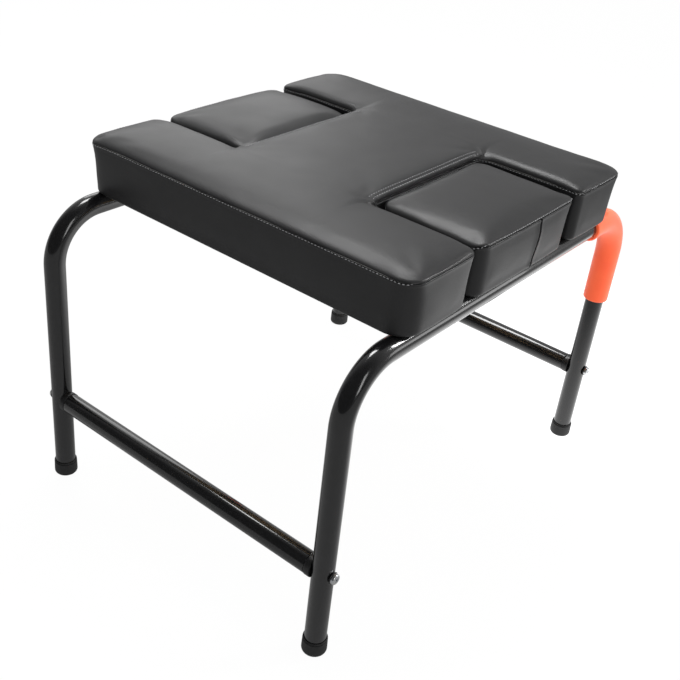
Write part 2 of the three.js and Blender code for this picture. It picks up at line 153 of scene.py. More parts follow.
# %% Grids, rings and turned profiles
def grid_faces(rows, count, around=True, closed=False):
    """Quads between rows of equal length. around closes each row, closed joins the last row to the first."""
    r = np.arange(rows if closed else rows - 1)[:, None]
    i = np.arange(count if around else count - 1)[None, :]
    low, high, along = r * count, ((r + 1) % rows) * count, (i + 1) % count
    return np.stack([low + i, low + along, high + along, high + i], -1).reshape(-1, 4)


def arc(centre_r, centre_z, radius, start, stop, steps=6):
    """Points of a round edge in a profile, with angles in degrees from the outward direction."""
    angles = np.radians(np.linspace(start, stop, steps + 1))
    return [(centre_r + radius * math.cos(a), centre_z + radius * math.sin(a)) for a in angles]


def turned(profile, sides=48, closed=False):
    """Points and faces of a profile of (radius, height) turned about Z."""
    angles = np.linspace(0, 2 * np.pi, sides, endpoint=False)
    profile = np.array(profile, float)
    points = np.stack([
        profile[:, :1] * np.cos(angles), profile[:, :1] * np.sin(angles),
        np.repeat(profile[:, 1:], sides, 1),
    ], -1).reshape(-1, 3)
    return points, grid_faces(len(profile), sides, closed=closed)


def aimed(points, along, at):
    """Turns points so that their Z axis looks along a direction, and moves them to a place."""
    turn = np.array(Vector((0, 0, 1)).rotation_difference(Vector(along)).to_matrix())
    return np.asarray(points) @ turn.T + np.asarray(at, float)


def bar(name, radius, start, stop, sides=32):
    """A plain round cutter from one point to another."""
    start, stop = np.array(start, float), np.array(stop, float)
    length = np.linalg.norm(stop - start)
    points, faces = turned([(0, 0), (radius, 0), (radius, length), (0, length)], sides)
    return make_mesh(name, aimed(points, (stop - start) / length, start), faces)


print("a ring of 48 and the next one make", len(grid_faces(2, 48)), "quads")


# %% [markdown]
# ## Helpers for materials
# A finish in Blender is a small graph of nodes. Colours are written as the sRGB hex that a paint chart
# gives, and one function turns them to the linear values that the shader adds up. Patterns take their
# scale from a real size, so a weave or a grain keeps its size on every piece.

# %% Colours and nodes
def linear_colour(chart):
    parts = [int(chart[i:i + 2], 16) / 255 for i in (1, 3, 5)]
    return (*(p / 12.92 if p <= 0.04045 else ((p + 0.055) / 1.055) ** 2.4 for p in parts), 1.0)


def fill_inputs(tree, node, inputs):
    """Gives inputs a value or a link. A node in the place of a value stands for its first output in use."""
    for socket, value in inputs.items():
        if isinstance(value, bpy.types.Node):
            value = next(output for output in value.outputs if output.enabled)
        if isinstance(value, bpy.types.NodeSocket):
            tree.links.new(value, node.inputs[socket])
        else:
            node.inputs[socket].default_value = value


def add_node(tree, kind, inputs=None, **settings):
    """Adds a shader node with its settings, values and links."""
    made = tree.nodes.new("ShaderNode" + kind)
    for name, value in settings.items():
        setattr(made, name, value)
    fill_inputs(tree, made, inputs or {})
    return made


print("black enamel in linear light:", [round(v, 4) for v in linear_colour("#0d0d0e")])


# %% A starting material, and the patterns that vary it
# Noise seldom leaves the span from 0.3 to 0.7, so that span is stretched over the wanted values.
NOISE_SPAN = {"From Min": 0.3, "From Max": 0.7}
# A Mix node has several sockets of one name, so those that mix colours are taken by number.
FACTOR, FIRST, SECOND = 0, 6, 7


def start_material(name, values):
    """A material with one surface shader. Returns it with its tree, shader and the place on the object."""
    material = bpy.data.materials.new(name)
    material.use_nodes = True
    tree = material.node_tree
    tree.nodes.clear()
    shader = add_node(tree, "BsdfPrincipled", values)
    add_node(tree, "OutputMaterial", {"Surface": shader})
    place = add_node(tree, "TexCoord").outputs["Object"]
    return material, tree, shader, place


def repeats(size):
    """How often a pattern of this size in millimetres repeats in a metre, which is what a scale means."""
    return 1 / (size * MM)


def vary(tree, shader, colours=None, roughness=None, relief=None):
    """Lets patterns vary a finish: its colour between two, its roughness, and its height in millimetres."""
    varied = {}
    if colours:
        pattern, first, second = colours
        varied["Base Color"] = add_node(tree, "Mix", {
            FACTOR: add_node(tree, "MapRange", {"Value": pattern, **NOISE_SPAN}),
            FIRST: linear_colour(first), SECOND: linear_colour(second)}, data_type="RGBA")
    if roughness:
        pattern, low, high = roughness
        varied["Roughness"] = add_node(tree, "MapRange", {
            "Value": pattern, **NOISE_SPAN, "To Min": low, "To Max": high})
    if relief:
        pattern, depth, strength = relief
        varied["Normal"] = add_node(tree, "Bump", {
            "Height": pattern, "Distance": depth * MM, "Strength": strength})
    fill_inputs(tree, shader, varied)


print("a grain of 1.3 mm repeats", round(repeats(1.3)), "times in a metre")

# %% [markdown]
# ## Finish: stove enamel on steel tube
# The tube is mild steel with a black enamel sprayed and baked on. Baked enamel is glossy, flows almost
# level, and leaves an orange peel some 5 mm across and only microns deep. Under the gloss the paint is a
# little blurred, so a pale floor shows as a soft grey along the lower half of each tube. The clear skin
# on top is sharper and gives the white streaks. Two layers in one shader say both at once.

# %% Black stove enamel
enamel, tree, shader, place = start_material("black_stove_enamel", {
    "Base Color": linear_colour("#0d0d0e"), "Roughness": 0.2, "IOR": 1.5,
    "Coat Weight": 0.7, "Coat Roughness": 0.04})
ORANGE_PEEL, PEEL_DEPTH = 5.0, 0.0035
CLOUD_SIZE, DUST_SIZE = 40, 9
peel = add_node(tree, "TexNoise", {"Vector": place, "Scale": repeats(ORANGE_PEEL), "Detail": 1.0})
cloud = add_node(tree, "TexNoise", {"Vector": place, "Scale": repeats(CLOUD_SIZE)})
dust = add_node(tree, "TexNoise", {
    "Vector": place, "Scale": repeats(DUST_SIZE), "Detail": 3.0, "Roughness": 0.7})
vary(tree, shader, (dust, "#0b0b0c", "#111112"), (cloud, 0.17, 0.23), (peel, PEEL_DEPTH, 1.0))
print("finish:", enamel.name)

# %% [markdown]
# ## Finish: moulded rubber and plastic
# The feet are moulded natural rubber filled with carbon black: dull, a little grey where the mould was
# blasted. The saddles and washers are injection-moulded polyamide, which is smoother and shows a soft
# highlight. The grips are dipped or moulded from orange soft PVC, with the fine skin of a foam sleeve.

# %% Rubber and polyamide
rubber, tree, shader, place = start_material("carbon_black_rubber", {
    "Base Color": linear_colour("#121213"), "Roughness": 0.55, "IOR": 1.52})
BLASTED_GRIT, SMEAR_SIZE = 0.7, 12
grit = add_node(tree, "TexNoise", {"Vector": place, "Scale": repeats(BLASTED_GRIT)})
smear = add_node(tree, "TexNoise", {"Vector": place, "Scale": repeats(SMEAR_SIZE), "Detail": 3.0})
vary(tree, shader, (smear, "#101011", "#161617"), (smear, 0.48, 0.62), (grit, 0.03, 1.0))

polyamide, tree, shader, place = start_material("black_polyamide", {
    "Base Color": linear_colour("#141415"), "Roughness": 0.38, "IOR": 1.53})
MOULD_SPARK, FLOW_SIZE = 0.5, 6
spark = add_node(tree, "TexNoise", {"Vector": place, "Scale": repeats(MOULD_SPARK)})
flow = add_node(tree, "TexNoise", {"Vector": place, "Scale": repeats(FLOW_SIZE)})
vary(tree, shader, roughness=(flow, 0.32, 0.45), relief=(spark, 0.02, 1.0))
print("finishes:", rubber.name, polyamide.name)

# %% The orange sleeve
sleeve_skin, tree, shader, place = start_material("orange_soft_pvc", {
    "Base Color": linear_colour("#fd6036"), "Roughness": 0.5, "IOR": 1.46,
    "Subsurface Weight": 0.08, "Subsurface Scale": 0.004, "Subsurface Radius": (1.0, 0.35, 0.15),
    "Sheen Weight": 0.25})
FOAM_PORE, BLUSH_SIZE = 0.9, 22
pores = add_node(tree, "TexVoronoi", {"Vector": place, "Scale": repeats(FOAM_PORE)})
blush = add_node(tree, "TexNoise", {"Vector": place, "Scale": repeats(BLUSH_SIZE), "Detail": 3.0})
vary(tree, shader, (blush, "#fb5b29", "#ff6531"), (blush, 0.52, 0.64), (pores, 0.05, 0.6))
print("finish:", sleeve_skin.name)

# %% [markdown]
# ## Finish: bright zinc
# Screws and nuts are zinc plated and passivated clear. Zinc is a metal, so its colour is the colour of
# its reflection, and the tumbling of small parts leaves fine random scuffs that blur it.

# %% Bright zinc plate
zinc, tree, shader, place = start_material("bright_zinc_plate", {
    "Base Color": linear_colour("#dcdee2"), "Metallic": 1.0, "Roughness": 0.26})
SCUFF_SIZE, PASSIVATION_SIZE = 1.2, 5
scuffs = add_node(tree, "TexNoise", {
    "Vector": place, "Scale": repeats(SCUFF_SIZE), "Detail": 4.0, "Roughness": 0.7})
passivation = add_node(tree, "TexNoise", {
    "Vector": place, "Scale": repeats(PASSIVATION_SIZE), "Detail": 1.0})
vary(tree, shader, (passivation, "#d6dae0", "#e4e3df"), (scuffs, 0.2, 0.34), (scuffs, 0.01, 1.0))
print("finish:", zinc.name)

# %% [markdown]
# ## Finish: PVC leatherette
# The seat is covered with black upholstery vinyl: a knitted back with a soft PVC face, embossed by a
# roller with the grain of leather. The face is nearly black but only half matt, so an overhead lamp
# spreads to a broad grey bloom over the flat tops, while the sides stay dark. The real grain is about
# 0.8 mm wide. It is drawn at 1.3 mm so that it still shows in a picture of the whole stool. Straight
# cells would look like tiles, so a second noise drifts them a little.

# %% Black PVC leatherette
leatherette, tree, shader, place = start_material("black_pvc_leatherette", {
    "Base Color": linear_colour("#171718"), "Roughness": 0.44, "IOR": 1.5})
GRAIN_WIDTH, GRAIN_DEPTH, FURROW_EDGE = 1.3, 0.035, 0.25
DRIFT_SIZE, GRAIN_DRIFT = 4, 0.0015
MOTTLE_SIZE, MOTTLE_DEPTH, HAND_SIZE = 28, 0.04, 90
wander = add_node(tree, "TexNoise", {"Vector": place, "Scale": repeats(DRIFT_SIZE)})
shift = add_node(tree, "VectorMath", {
    0: wander.outputs["Color"], 1: (GRAIN_DRIFT,) * 3}, operation="MULTIPLY")
cells = add_node(tree, "TexVoronoi", {
    "Vector": add_node(tree, "VectorMath", {0: place, 1: shift}, operation="ADD"),
    "Scale": repeats(GRAIN_WIDTH)}, feature="DISTANCE_TO_EDGE")
furrows = add_node(tree, "MapRange", {"Value": cells, "From Max": FURROW_EDGE})
mottle = add_node(tree, "TexNoise", {
    "Vector": place, "Scale": repeats(MOTTLE_SIZE), "Detail": 4.0, "Roughness": 0.6})
hand = add_node(tree, "TexNoise", {"Vector": place, "Scale": repeats(HAND_SIZE)})
vary(tree, shader, (mottle, "#151516", "#19191a"), (hand, 0.38, 0.44), (mottle, MOTTLE_DEPTH, 0.5))
fill_inputs(tree, shader, {"Normal": add_node(tree, "Bump", {
    "Height": furrows, "Distance": GRAIN_DEPTH * MM, "Strength": 0.5,
    "Normal": shader.inputs["Normal"].links[0].from_socket})})
print("finish:", leatherette.name)

# %% [markdown]
# ## Finish: sewing thread
# The seams are sewn with bonded polyester, strands twisted to a thread of about half a millimetre. In
# the photograph the stitches read lighter than the vinyl, so the thread is a mid grey. The twist is
# drawn some ten times coarser than the real one, since a finer wave would only flicker.

# %% Twisted polyester thread
thread, tree, shader, place = start_material("twisted_polyester_thread", {
    "Base Color": linear_colour("#7c7c7e"), "Roughness": 0.6, "IOR": 1.5, "Sheen Weight": 0.3})
TWIST, TWIST_DEPTH = 0.5, 0.08
WAVE_TURNS = 20  # a wave texture turns about 20 radians in each unit of its scale
twist = add_node(tree, "TexWave", {
    "Vector": place, "Scale": repeats(TWIST) / WAVE_TURNS, "Distortion": 1.0},
    bands_direction="DIAGONAL").outputs["Fac"]
# The colour follows the bump of the twist. Its grooves are painted darker and its ridges lighter, a painted
# shade and highlight on the strands.
fill_inputs(tree, shader, {
    "Normal": add_node(tree, "Bump", {"Height": twist, "Distance": TWIST_DEPTH * MM}),
    "Base Color": add_node(tree, "Mix", {
        FACTOR: twist, FIRST: linear_colour("#6c6c6e"), SECOND: linear_colour("#8c8c8e")},
        data_type="RGBA")})
print("finish:", thread.name)

# %% [markdown]
# ## Finish: what is inside the seat
# Under the vinyl lie a block of open-cell foam and a birch plywood board. They show only from below and
# when an insert pad is lifted, but the board's edge would give a flat colour away at once: plywood is
# glued from thin layers that cross, so its edge is striped and its face has long grain.

# %% Foam
foam, tree, shader, place = start_material("grey_polyurethane_foam", {
    "Base Color": linear_colour("#8b8b88"), "Roughness": 0.95, "IOR": 1.4})
FOAM_CELL, CELL_DEPTH = 1.1, 0.3
cell_walls = add_node(tree, "TexVoronoi", {
    "Vector": place, "Scale": repeats(FOAM_CELL)}, feature="DISTANCE_TO_EDGE")
# The middles of the cells are painted darker than their walls, a painted shade in the open pores.
fill_inputs(tree, shader, {
    "Normal": add_node(tree, "Bump", {"Height": cell_walls, "Distance": CELL_DEPTH * MM}),
    "Base Color": add_node(tree, "Mix", {
        FACTOR: cell_walls, FIRST: linear_colour("#9b9b98"), SECOND: linear_colour("#70706e")},
        data_type="RGBA")})
print("finish:", foam.name)

# %% Birch plywood and beech
PLY_BLEND, PLY_EDGE = 0.35, 0.2
GRAIN_RELIEF = 0.08


def ply_stripes(tree, place, ply, colour):
    """Stripes of light and dark layers over a colour. ply is the thickness of one layer in millimetres."""
    height = add_node(tree, "SeparateXYZ", {0: place}).outputs["Z"]
    turns = add_node(tree, "Math", {0: height, 1: math.pi * repeats(ply)}, operation="MULTIPLY")
    wave = add_node(tree, "Math", {0: turns}, operation="SINE")
    stripe = add_node(tree, "MapRange", {"Value": wave, "From Min": -PLY_EDGE, "From Max": PLY_EDGE})
    layers = add_node(tree, "Mix", {
        FACTOR: stripe, FIRST: linear_colour("#8a6a45"), SECOND: linear_colour("#dcc49a")},
        data_type="RGBA")
    return add_node(tree, "Mix", {FACTOR: PLY_BLEND, FIRST: colour, SECOND: layers}, data_type="RGBA")


def wood(name, light, dark, ring, stretch, ply=None):
    """Wood whose grain is drawn out along the axis that stretch shrinks."""
    material, tree, shader, place = start_material(name, {"Roughness": 0.62, "IOR": 1.5})
    longways = add_node(tree, "Mapping", {"Vector": place, "Scale": stretch})
    grain = add_node(tree, "TexNoise", {
        "Vector": longways, "Scale": repeats(ring), "Detail": 5.0, "Roughness": 0.6})
    vary(tree, shader, (grain, light, dark), (grain, 0.55, 0.72), (grain, GRAIN_RELIEF, 1.0))
    if ply:
        colour = shader.inputs["Base Color"].links[0].from_socket
        fill_inputs(tree, shader, {"Base Color": ply_stripes(tree, place, ply, colour)})
    return material


plywood = wood("birch_plywood", "#d3b88a", "#b3915f", 6, (0.12, 1, 1), ply=1.5)
beech = wood("steamed_beech", "#cda173", "#b5875a", 1.6, (1, 1, 0.12))
print("finishes:", plywood.name, beech.name)

# %% [markdown]
# ## The two bent tube frames
# Each side of the stool is one steel tube, bent twice on a mandrel: leg, rail, leg. Here a point
# travels along the centre line of the tube, and at every stop a ring of the tube is set square to the
# way. The holes for the screws are drilled afterwards, as in the workshop. Extra rings stand on both
# sides of each hole, so that the faces the drill cuts stay short and shade evenly.

# %% The centre line of a frame
LEG_RUN = RAIL_Z - BEND_RADIUS - TUBE_END_Z
BEND_RUN = BEND_RADIUS * math.pi / 2
RAIL_RUN = 2 * (LEG_Y - BEND_RADIUS)
FRAME_RUN = 2 * LEG_RUN + 2 * BEND_RUN + RAIL_RUN


def on_frame(s):
    """Place (y, z) and heading after s millimetres from the front foot, up, along and down again."""
    if s > FRAME_RUN / 2:
        y, z, heading = on_frame(FRAME_RUN - s)
        return -y, z, -heading
    if s <= LEG_RUN:
        return -LEG_Y, TUBE_END_Z + s, math.pi / 2
    if s <= LEG_RUN + BEND_RUN:
        heading = math.pi / 2 - (s - LEG_RUN) / BEND_RADIUS
        y = -(LEG_Y - BEND_RADIUS) - BEND_RADIUS * math.sin(heading)
        return y, RAIL_Z - BEND_RADIUS + BEND_RADIUS * math.cos(heading), heading
    return -(LEG_Y - BEND_RADIUS) + (s - LEG_RUN - BEND_RUN), RAIL_Z, 0.0


def sleeve_points(stops, sides=64):
    """Rings of a closed sleeve. Each stop is (distance along the frame, radius)."""
    angles = np.linspace(0, 2 * np.pi, sides, endpoint=False)
    rings = []
    for s, radius in stops:
        y, z, heading = on_frame(s)
        out = radius * np.sin(angles)
        rings.append(np.stack([
            radius * np.cos(angles), y - out * math.sin(heading), z + out * math.cos(heading)], -1))
    return np.concatenate(rings), grid_faces(len(stops), sides, closed=True)


print("length of each bent tube:", round(FRAME_RUN), "mm")

# %% Where the rings of a tube stand
BEND_STEPS = 30
STRAIGHT_SHARES = (0.12, 0.5, 0.75)
RIM = 0.5
PAD_SCREW_Y = 168.5
BESIDE_SCREW_HOLE, BESIDE_ACCESS_HOLE = 6, 10

bends = [start + BEND_RUN * i / BEND_STEPS
         for start in (LEG_RUN, FRAME_RUN - LEG_RUN - BEND_RUN) for i in range(BEND_STEPS + 1)]
near_holes = [CROSSBAR_Z - TUBE_END_Z + d for d in (-BESIDE_SCREW_HOLE, BESIDE_SCREW_HOLE)]
near_holes += [FRAME_RUN / 2 - PAD_SCREW_Y + d for d in (-BESIDE_ACCESS_HOLE, BESIDE_ACCESS_HOLE)]
before_middle = [RIM, *(share * LEG_RUN for share in STRAIGHT_SHARES), *near_holes]
stations = sorted([*before_middle, *bends, FRAME_RUN / 2, *(FRAME_RUN - s for s in before_middle)])
frame_stops = [(0, TUBE_RADIUS - RIM)] + [(s, TUBE_RADIUS) for s in stations]
frame_stops += [(FRAME_RUN, TUBE_RADIUS - RIM)]
frame_stops += [(s, BORE_RADIUS) for s in [FRAME_RUN, *reversed(stations[1:-1]), 0]]
print("rings of each tube, outside and inside:", len(frame_stops))

# %% Bend both frames and drill their holes
SCREW_HOLE = 3.4
ACCESS_HOLE = 6.75
DRILL_REACH = 20

for side, x in SIDES.items():
    points, faces = sleeve_points(frame_stops)
    tube = make_mesh(f"bent_tube_{side}", points + (x * FRAME_X, 0, 0), faces)
    drills = []
    for y in ENDS.values():
        leg_x, leg_y, screw_y = x * FRAME_X, y * LEG_Y, y * PAD_SCREW_Y
        for radius, start, stop in (
                (SCREW_HOLE, (leg_x - DRILL_REACH, leg_y, CROSSBAR_Z),
                 (leg_x + DRILL_REACH, leg_y, CROSSBAR_Z)),
                (SCREW_HOLE, (leg_x, screw_y, RAIL_Z), (leg_x, screw_y, RAIL_Z + DRILL_REACH)),
                (ACCESS_HOLE, (leg_x, screw_y, RAIL_Z - DRILL_REACH), (leg_x, screw_y, RAIL_Z))):
            drills.append(bar("drill", radius, start, stop))
    cut_away(tube, drills)
    finish_piece(tube, enamel, "stool", [f"frame_{side}"])
    print(tube.name, "has", len(tube.data.polygons), "faces")

# %% [markdown]
# ## Hand grips
# A soft orange sleeve is pushed over each rear bend, where the hands hold on. It is a thick tube with
# softly rounded ends. Where it runs under the seat the board squeezes it flat against the rail, so its
# top is pressed down there instead of being cut.

# %% The length and the edges of a grip
GRIP_OUTER = 16.5
GRIP_INNER = 12.62
GRIP_ON_RAIL, GRIP_ON_LEG = 29, 71
GRIP_START = FRAME_RUN - LEG_RUN - BEND_RUN - GRIP_ON_RAIL
GRIP_STOP = FRAME_RUN - LEG_RUN + GRIP_ON_LEG
GRIP_EDGE, GRIP_STEP = 2.0, 2.5

edge = arc(GRIP_OUTER - GRIP_EDGE, GRIP_EDGE, GRIP_EDGE, -90, 0, 5)
along = np.arange(GRIP_START + GRIP_EDGE + GRIP_STEP, GRIP_STOP - GRIP_EDGE - 1, GRIP_STEP)
grip_stops = [(GRIP_START, GRIP_INNER)]
grip_stops += [(GRIP_START + h, r) for r, h in edge]
grip_stops += [(s, GRIP_OUTER) for s in along]
grip_stops += [(GRIP_STOP - h, r) for r, h in reversed(edge)]
grip_stops += [(s, GRIP_INNER) for s in [GRIP_STOP, *reversed(along[::2])]]
print("grip length along the bend:", round(GRIP_STOP - GRIP_START), "mm")


# %% Orange sleeves round the rear bends
def smooth(q):
    """Eases from 0 to 1 without a kink at either end."""
    q = np.clip(q, 0, 1)
    return q * q * (3 - 2 * q)


SEAT_BASE = RAIL_TOP + GAP
SEAT_EDGE_Y = 224.0
FREE_AFTER, FREE_RISE = 12, 6

for side, x in SIDES.items():
    points, faces = sleeve_points(grip_stops)
    past_seat = (points[:, 1] - SEAT_EDGE_Y - 1) / FREE_AFTER
    ceiling = SEAT_BASE - 0.05 + FREE_RISE * smooth(past_seat)
    points[:, 2] = np.where(past_seat < 1, np.minimum(points[:, 2], ceiling), points[:, 2])
    grip = make_mesh(f"orange_grip_{side}", points + (x * FRAME_X, 0, 0), faces)
    finish_piece(grip, sleeve_skin, "stool", [f"grip_{side}"])
    print(grip.name, "has", len(grip.data.polygons), "faces")

# %% [markdown]
# ## Rubber feet
# Each leg ends in a moulded cup. The photograph shows a thin lip with a dark line under it, a body that
# is a little wider, and a well rounded lower edge. One turned profile carries all of it, and a low
# ridge inside the sole stands for the mark of the mould.

# %% Four turned feet
foot_profile = [
    (0, 0.6), (6, 0.6), (6.6, 0), (9.5, 0), *arc(10.3, 4.2, 4.2, -90, 0, 8),
    (14.4, 11), (14.2, 17.3), *arc(13.9, 17.9, 0.35, 0, 90, 3), (13.35, 18.35), (13.3, 18.75),
    *arc(13.5, 19.4, 0.6, -60, 60, 5), (13.5, 20.8), (13.1, 21), (12.9, 20.9), (12.62, 20.2),
    (12.62, 5.02), (0, 5.02),
]
for corner, (x, y) in CORNERS.items():
    points, faces = turned(foot_profile, 64)
    foot = make_mesh(f"rubber_foot_{corner}", points + (x * FRAME_X, y * LEG_Y, 0), faces)
    finish_piece(foot, rubber, "stool", [f"foot_{corner}"])
print("feet:", len(CORNERS))

# %% [markdown]
# ## Crossbars, saddles, washers and screws
# Two straight tubes join the frames near the floor. A plastic saddle, hollowed to fit the leg, sits at
# each end of a crossbar. A screw goes through the leg and the saddle into a threaded insert in the
# crossbar, and its bright pan head shows on the outside of the leg with a black washer behind it.

# %% Crossbars
SADDLE_START, SADDLE_LENGTH = 10.0, 8.0
BAR_END = SADDLE_START + SADDLE_LENGTH + GAP
half = FRAME_X - BAR_END
bar_profile = [
    *arc(TUBE_RADIUS - RIM, -half + RIM, RIM, -90, 0, 3),
    *arc(TUBE_RADIUS - RIM, half - RIM, RIM, 0, 90, 3),
    (BORE_RADIUS, half), (BORE_RADIUS, -half),
]
for end, y in ENDS.items():
    points, faces = turned(bar_profile, 64, closed=True)
    crossbar = make_mesh(f"crossbar_tube_{end}", aimed(points, (1, 0, 0), (0, y * LEG_Y, CROSSBAR_Z)), faces)
    finish_piece(crossbar, enamel, "stool", [f"crossbar_{end}"])
print("crossbar length:", round(2 * half, 1), "mm")

# %% Saddles, with their height measured from the centre of the leg
SADDLE_TOP, SADDLE_RADIUS, SADDLE_ROUND = SADDLE_START + SADDLE_LENGTH, 13, 1.4
saddle_profile = [
    *((r, SADDLE_START) for r in (SCREW_HOLE, 5, 7, 8.5, 10, 11.2)),
    *arc(11.6, SADDLE_START + SADDLE_ROUND, SADDLE_ROUND, -90, 0, 6), (SADDLE_RADIUS, 14),
    *arc(11.6, SADDLE_TOP - SADDLE_ROUND, SADDLE_ROUND, 0, 90, 6),
    (8, SADDLE_TOP), (SCREW_HOLE, SADDLE_TOP),
]
points, faces = turned(saddle_profile, 64, closed=True)
leg_face = np.sqrt(np.clip((TUBE_RADIUS + GAP / 2) ** 2 - points[:, 0] ** 2, 0, None))
points[:, 2] = np.maximum(points[:, 2], leg_face)
for corner, (x, y) in CORNERS.items():
    facing = np.stack([
        x * FRAME_X - x * points[:, 2], y * LEG_Y + points[:, 0], CROSSBAR_Z + points[:, 1]], -1)
    saddle = make_mesh(f"saddle_block_{corner}", facing, faces)
    finish_piece(saddle, polyamide, "stool", [f"saddle_{corner}"])
print("saddles:", len(CORNERS))


# %% Screws with a cross recess
RECESS_TAPER, RECESS_TURN = 0.45, 35
WASHER_SEAT, HEAD_SEAT = TUBE_RADIUS + GAP, 14.3
PAN_RADIUS, PAN_HEIGHT, SHANK_RADIUS, LEG_SCREW_LENGTH = 6.25, 4.0, 3.0, 48.6


def recess_cutters(width, length, depth, along, at):
    """Two tapered slots that cross, for the tip of a screwdriver."""
    cutters = []
    for turn in (0, 90):
        blade = bmesh.new()
        bmesh.ops.create_cube(blade, size=1)
        for v in blade.verts:
            taper = 1.0 if v.co.z > 0 else RECESS_TAPER
            v.co = Vector((v.co.x * length * taper, v.co.y * width * (0.5 + taper / 2), v.co.z * 2 * depth))
        blade.transform(Matrix.Rotation(math.radians(turn + RECESS_TURN), 4, "Z"))
        mesh = bpy.data.meshes.new("blade")
        blade.to_mesh(mesh)
        blade.free()
        turn_to = Vector((0, 0, 1)).rotation_difference(Vector(along)).to_matrix().to_4x4()
        mesh.transform(Matrix.Translation(Vector(at) * MM) @ turn_to @ Matrix.Scale(MM, 4))
        cutter = bpy.data.objects.new("blade", mesh)
        bpy.context.scene.collection.objects.link(cutter)
        cutters.append(cutter)
    return cutters


def make_screw(name, node, head, head_height, shank, length, along, at, tip=0.8, recess=(1.5, 6.5, 2.2)):
    """A pan head screw. at is the middle of the head's underside, and along points out of the head."""
    rim = 0.55 * head_height
    profile = [
        (0, -length), (shank - 0.6 if tip < 2 else 0.2, -length), (shank, tip - length), (shank, -0.2),
        (shank + 0.3, 0), (head - 0.25, 0), (head, 0.25),
        *arc(head - rim, head_height - rim, rim, 0, 80, 9), (0, head_height),
    ]
    points, faces = turned(profile, 40)
    screw = make_mesh(name, aimed(points, along, at), faces)
    width, slot_length, depth = recess
    face = np.array(at, float) + np.array(along, float) * head_height
    cut_away(screw, recess_cutters(width, slot_length, depth, along, face))
    return finish_piece(screw, zinc, "stool", [node])


print("head of a leg screw:", 2 * PAN_RADIUS, "mm wide and", PAN_HEIGHT, "mm high")

# %% Washers and screws of the crossbars
washer_profile = [(SCREW_HOLE, 0), (6.7, 0), (7, 0.3), (7, 0.8), (6.6, 1.2), (SCREW_HOLE, 1.2)]
for corner, (x, y) in CORNERS.items():
    points, faces = turned(washer_profile, 40, closed=True)
    at = (x * (FRAME_X + WASHER_SEAT), y * LEG_Y, CROSSBAR_Z)
    washer = make_mesh(f"screw_washer_{corner}", aimed(points, (x, 0, 0), at), faces)
    finish_piece(washer, polyamide, "stool", [f"crossbar_washer_{corner}"])
    make_screw(f"leg_screw_{corner}", f"crossbar_screw_{corner}", PAN_RADIUS, PAN_HEIGHT, SHANK_RADIUS,
               LEG_SCREW_LENGTH, (x, 0, 0), (x * (FRAME_X + HEAD_SEAT), y * LEG_Y, CROSSBAR_Z))
print("screws and washers:", 2 * len(CORNERS))

# %% [markdown]
# ## How a pad is drawn
# Every outline of this seat turns square, so a pad starts as a grid of straight lines in plan. The
# lines crowd together near the edges, where the vinyl rolls over, and each corner of the grid is then
# pulled round. The height of each point comes from how far it lies from the nearest edges. A sculpted
# block would look much the same, but this way every seam, ridge and stitch has an exact place.

# %% Lines of the grid, as distances from an edge
FINE = [0, .15, .4, .75, 1.2, 1.7, 2.3, 3.0, 3.9, 5, 6.3, 7.9, 9.8, 12, 14.6, 17.6, 21, 25, 29.5, 34.5]
LOOSE = [0, 1.5, 3, 4.5, 6, 7.5, 9, 11, 14, 18, 23]
FREE_STEP = 7.5


def lines_between(low, high, near_low, near_high):
    """Places of grid lines from low to high, crowded near each end as the two lists say."""
    start = [low + d for d in near_low]
    stop = [high - d for d in reversed(near_high)]
    count = max(int(round((stop[0] - start[-1]) / FREE_STEP)), 1)
    return start + [start[-1] + (stop[0] - start[-1]) * i / count for i in range(1, count)] + stop


print("lines across a span of 100 mm:", len(lines_between(0, 100, FINE, FINE)))


# %% Move the outline inwards
DRIFT_REACH = 30.0


def drifted(values, edges, inset):
    """Moves grid coordinates with their edge. edges lists (place, inward direction)."""
    moved = values.copy()
    for place, inward in edges:
        moved += inward * inset * (1 - smooth(np.abs(values - place) / DRIFT_REACH))
    return moved


print("an edge at 0 moved in by 2 mm:", drifted(np.array([0.0]), [(0, 1)], 2))


# %% Round the corners of the grid
ROUND_FADE = 1.8


def rounded(x, y, corners, inset):
    """Pulls square corners round. A corner is (x, y, radius, out x, out y, is it hollow)."""
    new_x, new_y = x.copy(), y.copy()
    for cx, cy, radius, sx, sy, hollow in corners:
        fold = -1 if hollow else 1
        r = np.maximum(radius - fold * inset, 1.0)
        a = (x - cx) * sx + fold * inset
        b = (y - cy) * sy + fold * inset
        reach = np.maximum(a, b)
        if not hollow:
            reach = -reach
        twin_a, twin_b = (a - reach, b - reach) if hollow else (a + reach, b + reach)
        near = np.where(twin_b < 0, np.clip(1 + twin_b / r, 0, 1), 2 - np.clip(1 + twin_a / r, 0, 1))
        angle = near * math.pi / 4
        pull_a = -r + r * np.cos(angle) - twin_a
        pull_b = -r + r * np.sin(angle) - twin_b
        away = (twin_a < -r) | (twin_b < -r)
        fade = np.where(away, 0, 1 - smooth(np.maximum(reach, 0) / (ROUND_FADE * r)))
        new_x += sx * pull_a * fade
        new_y += sy * pull_b * fade
    return new_x, new_y


corner_x, _ = rounded(np.zeros(1), np.zeros(1), [(0, 0, 10, 1, 1, False)], 0.0)
print("a corner of radius 10 is pulled in by mm:", round(float(-corner_x[0]), 2))

# %% The plan of the H-shaped main pad
PAD_X, PAD_Y, NOTCH_Y, BRIDGE_X = 231.0, 224.0, 113.0, 94.0
PAD_CORNER, NOTCH_CORNER, ROOT_CORNER = 20.0, 8, 18

